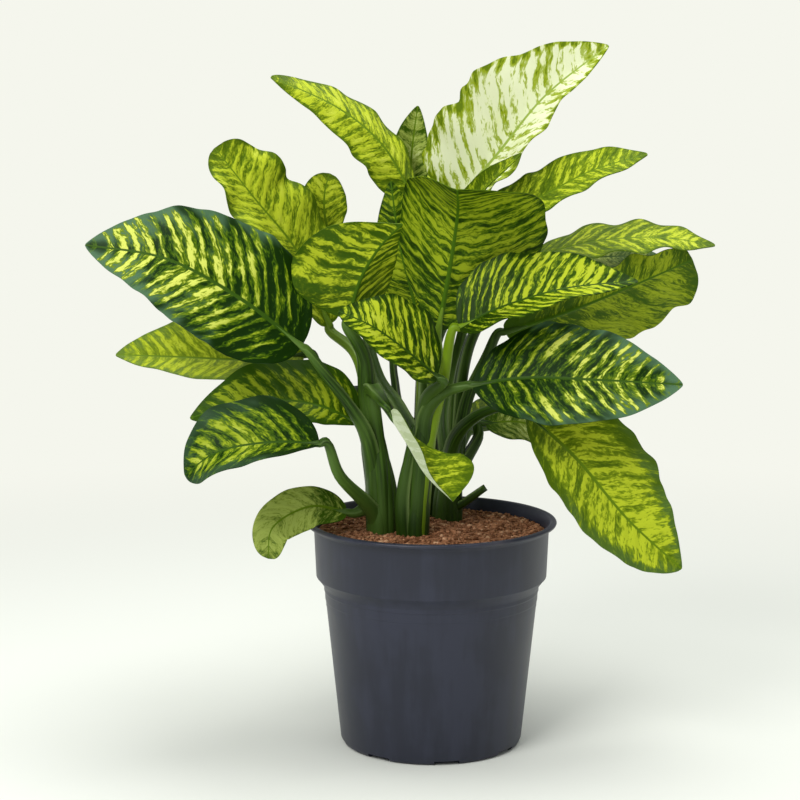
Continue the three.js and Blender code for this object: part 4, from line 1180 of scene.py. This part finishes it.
collar_top_z = POT_HEIGHT - 2 * LIP_BEAD
rings = []
for ring_z, proud in reversed(RINGS):
    rings += [(wall_radius(ring_z - 1), ring_z - 1), (wall_radius(ring_z) + proud, ring_z)]
section = [
    (0, 0), (PAD, 0), (PAD + RECESS_SLOPE, UNDERSIDE_RECESS), (FOOT_RING - RECESS_SLOPE, UNDERSIDE_RECESS),
    (FOOT_RING, 0), (FOOT - FOOT_CORNER * FOOT_FLAT, 0),
    (FOOT - FOOT_CORNER * FOOT_SLANT, FOOT_CORNER * FOOT_SLANT), (FOOT, FOOT_CORNER), *rings,
    (SHOULDER, SHOULDER_Z - COLLAR_ROUND), (SHOULDER + COLLAR_ROUND, SHOULDER_Z + COLLAR_ROUND),
    (COLLAR_FOOT - COLLAR_ROUND, COLLAR_FOOT_Z - COLLAR_ROUND), (COLLAR_FOOT, COLLAR_FOOT_Z),
    (COLLAR_TOP, collar_top_z), (COLLAR_TOP + COLLAR_ROUND, POT_HEIGHT - LIP_BEAD - LIP_ROUND),
    (LIP_RADIUS - LIP_ROUND, POT_HEIGHT - LIP_BEAD), (LIP_RADIUS, POT_HEIGHT - LIP_BEAD / 2),
    (LIP_RADIUS - LIP_ROUND, POT_HEIGHT - LIP_ROUND / 2), (LIP_RADIUS - LIP_BEAD, POT_HEIGHT),
    (LIP_RADIUS - LIP_BEAD - WALL, POT_HEIGHT - LIP_ROUND), (COLLAR_TOP - WALL, collar_top_z),
    (COLLAR_FOOT - WALL, COLLAR_FOOT_Z + WALL), (SHOULDER - WALL, SHOULDER_Z),
    (FOOT - WALL, FLOOR + INNER_CORNER), (FOOT - WALL - INNER_CORNER, FLOOR), (0, FLOOR),
]


def spin_section(points, steps):
    """Spins a section of (radius, height) points in millimetres round the Z axis."""
    bm = bmesh.new()
    verts = [bm.verts.new((radius * MM, 0, z * MM)) for radius, z in points]
    edges = [bm.edges.new(pair) for pair in zip(verts, verts[1:])]
    spun = dict(geom=verts + edges, axis=(0, 0, 1), cent=(0, 0, 0), angle=math.tau, steps=steps)
    bmesh.ops.spin(bm, use_merge=True, **spun)
    bmesh.ops.remove_doubles(bm, verts=bm.verts[:], dist=1e-6)
    bmesh.ops.recalc_face_normals(bm, faces=bm.faces[:])
    return bm


print("the section has", len(section), "points")

# %% Make the pot
DRAINS = 8
DRAIN_RADIUS = 6
DRAIN_RING = 48
DRAIN_SIDES = 24
SLOT = (16, 24, 8)
SLOT_RING = 86
FIRST_DRAIN = -80
EDGE_BEVEL = 0.45
BEVELLED_FROM = 24
SHARP_FROM = 40


def edge_turn(edge):
    """The degrees that the surface turns at an edge."""
    return math.degrees(edge.calc_face_angle()) if len(edge.link_faces) == 2 else 0


bm = spin_section(section, POT_STEPS)
rounded = [e for e in bm.edges if edge_turn(e) > BEVELLED_FROM]
bevel = dict(offset=EDGE_BEVEL * MM, segments=2, profile=0.5, material=-1, clamp_overlap=True)
bmesh.ops.bevel(bm, geom=rounded, affect="EDGES", **bevel)
for face in bm.faces:
    face.smooth = True
shell = add_object("pot shell", finish_mesh(bm, "pot shell"))

bm = bmesh.new()
for i in range(DRAINS):
    turned = Matrix.Rotation(math.radians(FIRST_DRAIN + 360 * i / DRAINS), 4, "Z")
    slot_size = Matrix.Diagonal((*[x * MM for x in SLOT], 1))
    at_slot = turned @ Matrix.Translation((SLOT_RING * MM, 0, 0)) @ slot_size
    bmesh.ops.create_cube(bm, size=1, matrix=at_slot)
    at_hole = turned @ Matrix.Translation((DRAIN_RING * MM, 0, 0))
    hole = dict(radius1=DRAIN_RADIUS * MM, radius2=DRAIN_RADIUS * MM, depth=4 * FLOOR * MM)
    bmesh.ops.create_cone(bm, cap_ends=True, segments=DRAIN_SIDES, matrix=at_hole, **hole)
cutter = add_object("drains", finish_mesh(bm, "drains"))

cut = shell.modifiers.new("drains", "BOOLEAN")
cut.operation = "DIFFERENCE"
cut.solver = "EXACT"
cut.object = cutter
cut_shell = shell.evaluated_get(bpy.context.evaluated_depsgraph_get())
bm = bmesh.new()
bm.from_mesh(cut_shell.to_mesh())
cut_shell.to_mesh_clear()
for edge in bm.edges:
    edge.smooth = len(edge.link_faces) == 2 and edge_turn(edge) < SHARP_FROM
bpy.data.objects.remove(shell)
bpy.data.objects.remove(cutter)
print("the shell with its", 2 * DRAINS, "drains has", len(bm.faces), "faces")

# %% Pot finish
POT_BLUE_BLACK = linear(36, 39, 53)
POT_LIGHT = linear(45, 48, 64)
DUST = linear(92, 84, 78)
DUST_HEIGHTS = (0.206, 0.216)

pot_finish, tree, shader = new_material("satin anthracite plastic", roughness=0.5, specular=0.35)
place = object_place(tree)
down_streaks = node(tree, "ShaderNodeMapping", place, None, None, (60.0, 60.0, 6.0))
streaky = speckle(down_streaks, scale=1.0, detail=4.0, roughness=0.6)
clouds = speckle(place, scale=14.0, detail=3.0, roughness=0.6)
grain = speckle(place, scale=900.0, roughness=0.6)
dusty = mask(split(place)[2], *DUST_HEIGHTS) * mask(clouds, 0.42, 0.7)
colour = paint(POT_BLUE_BLACK, (mask(streaky + clouds, 0.85, 1.2), POT_LIGHT), (dusty * 0.35, DUST))
feed(shader["Base Color"], colour)
feed(shader["Roughness"], clouds * 0.22 + (streaky * 0.12 + 0.26))
add_bump(shader, grain, strength=0.12, distance=0.0003)
pot = make_piece(bm, "nursery_pot", "pot", [pot_finish])
print("the pot is", [round(x, 3) for x in pot.dimensions], "m in size")

# %% [markdown]
# Growing medium
#
# The pot is filled with coir and peat: a loose crumb of reddish-brown grains, with pale chips and short
# fibres. A bump map alone looks flat at the rim, so the surface is a fine disc with real unevenness, and
# some two thousand crumbs and fibres lie half sunk in it. Each crumb carries a number, its tint, which the
# material turns into a darker or paler brown.

# %% Soil shape
SOIL_EDGE_Z = 205
SOIL_RISE = 4
SOIL_GAP = 0.6
SOIL_RINGS = 44
SOIL_STEPS = 132
SOIL_ROUGH = 1.5
SOIL_NOISES = ((19, 1.0, 0), (6, 0.7, 40), (2.2, 0.45, 90))
SOIL_CALM_EDGE = 3
SOIL_CALM = 0.6
SOIL_TINT = 0.35

soil_reach = COLLAR_TOP - WALL - SOIL_GAP


def soil_height(x, y):
    """Height of the soil in millimetres. Its unevenness comes in three sizes."""
    radius = math.hypot(x, y)
    height = SOIL_EDGE_Z + SOIL_RISE * (1 - (radius / soil_reach) ** 2)
    rough = sum(share * noise.noise(Vector((x, y, layer)) / size) for size, share, layer in SOIL_NOISES)
    calm = smooth_step(soil_reach - SOIL_CALM_EDGE, soil_reach, radius) * SOIL_CALM
    return height + SOIL_ROUGH * rough * (1 - calm)


soil_section = [(soil_reach * i / SOIL_RINGS, SOIL_EDGE_Z) for i in range(SOIL_RINGS + 1)]
soil_section += [
    (COLLAR_FOOT - WALL - SOIL_GAP, COLLAR_FOOT_Z + WALL), (SHOULDER - WALL - SOIL_GAP, SHOULDER_Z),
    (FOOT - WALL - SOIL_GAP, FLOOR + INNER_CORNER), (FOOT - 2 * INNER_CORNER, FLOOR + SOIL_GAP),
    (0, FLOOR + SOIL_GAP),
]
bm = spin_section(soil_section, SOIL_STEPS)
tint = bm.verts.layers.float.new("tint")
for vert in bm.verts:
    vert[tint] = SOIL_TINT
    if vert.co.z > (SOIL_EDGE_Z - 1) * MM:
        vert.co.z = soil_height(vert.co.x / MM, vert.co.y / MM) * MM
print("the middle of the soil is", round(soil_height(0, 0), 1), "mm up")

# %% Crumbs and fibres
CRUMBS = 2100
CRUMB_SIZE = (1.0, 2.7)
CRUMB_STRETCH = ((0.9, 1.7), (0.7, 1.0), (0.5, 0.8))
CRUMB_LIFT = 0.2
FIBRES = 240
FIBRE_LENGTH = (5, 13)
FIBRE_RADII = (0.45, 0.2)
FIBRE_LIFT = 1.0
STREWN_OUT_TO = 0.975
TILT = 0.5

draw = random.Random(12)
for i in range(CRUMBS + FIBRES):
    angle = draw.uniform(0, math.tau)
    radius = soil_reach * STREWN_OUT_TO * math.sqrt(draw.random())
    x, y = radius * math.cos(angle), radius * math.sin(angle)
    spun = Matrix.Rotation(draw.uniform(0, math.tau), 4, "Z")
    spun = spun @ Matrix.Rotation(draw.uniform(-TILT, TILT), 4, "X")
    if i < CRUMBS:
        size = draw.uniform(*CRUMB_SIZE) * MM
        stretch = Matrix.Diagonal((*[draw.uniform(*pair) for pair in CRUMB_STRETCH], 1))
        lift = Matrix.Translation((x * MM, y * MM, soil_height(x, y) * MM + CRUMB_LIFT * size))
        made = bmesh.ops.create_icosphere(bm, subdivisions=1, radius=size, matrix=lift @ spun @ stretch)
    else:
        lift = Matrix.Translation((x * MM, y * MM, (soil_height(x, y) + FIBRE_LIFT) * MM))
        flat = Matrix.Rotation(math.pi / 2, 4, "Y")
        thick, thin = FIBRE_RADII
        fibre = dict(radius1=thick * MM, radius2=thin * MM, depth=draw.uniform(*FIBRE_LENGTH) * MM)
        made = bmesh.ops.create_cone(bm, cap_ends=True, segments=4, matrix=lift @ spun @ flat, **fibre)
    shade = draw.random()
    for vert in made["verts"]:
        vert[tint] = shade
for face in bm.faces:
    face.smooth = True
print("crumbs and fibres:", CRUMBS + FIBRES)

# %% Soil finish
SOIL_BROWN = linear(168, 118, 84)
SOIL_DARK = linear(100, 62, 36)
SOIL_CHIP = linear(200, 156, 120)

soil_finish, tree, shader = new_material("coir and peat", roughness=0.95, specular=0.2)
place = object_place(tree)
shade = vertex_value(tree, "tint")
crumbly = speckle(place, scale=260.0, detail=4.0, roughness=0.7)
clumps = speckle(place, scale=40.0)
colour = paint(
    SOIL_DARK,
    (mask(clumps * 0.6 + crumbly, 0.62, 1.0), SOIL_BROWN),
    (mask(shade, 0.35, 0.8), SOIL_BROWN),
    (mask(shade, 0.86, 0.95), SOIL_CHIP),
    (mask(shade, 0.16, 0.06), SOIL_DARK),
)
feed(shader["Base Color"], colour)
add_bump(shader, crumbly, strength=0.6, distance=0.001)
soil = make_piece(bm, "coir_soil", "soil", [soil_finish])
print("the soil has", len(soil.data.polygons), "faces")

# %% [markdown]
# Sizes
#
# The dressed plant has to keep the size of the construction model, so both boxes are written down and
# compared.

# %% Compare the boxes and finish
dressed_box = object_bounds()
for axis, name in enumerate("XYZ"):
    low = (dressed_box[0][axis] - model_box[0][axis]) / MM
    high = (dressed_box[1][axis] - model_box[1][axis]) / MM
    print(f"{name}: the dressed plant's low end differs by {low:.1f} mm and its high end by {high:.1f} mm")
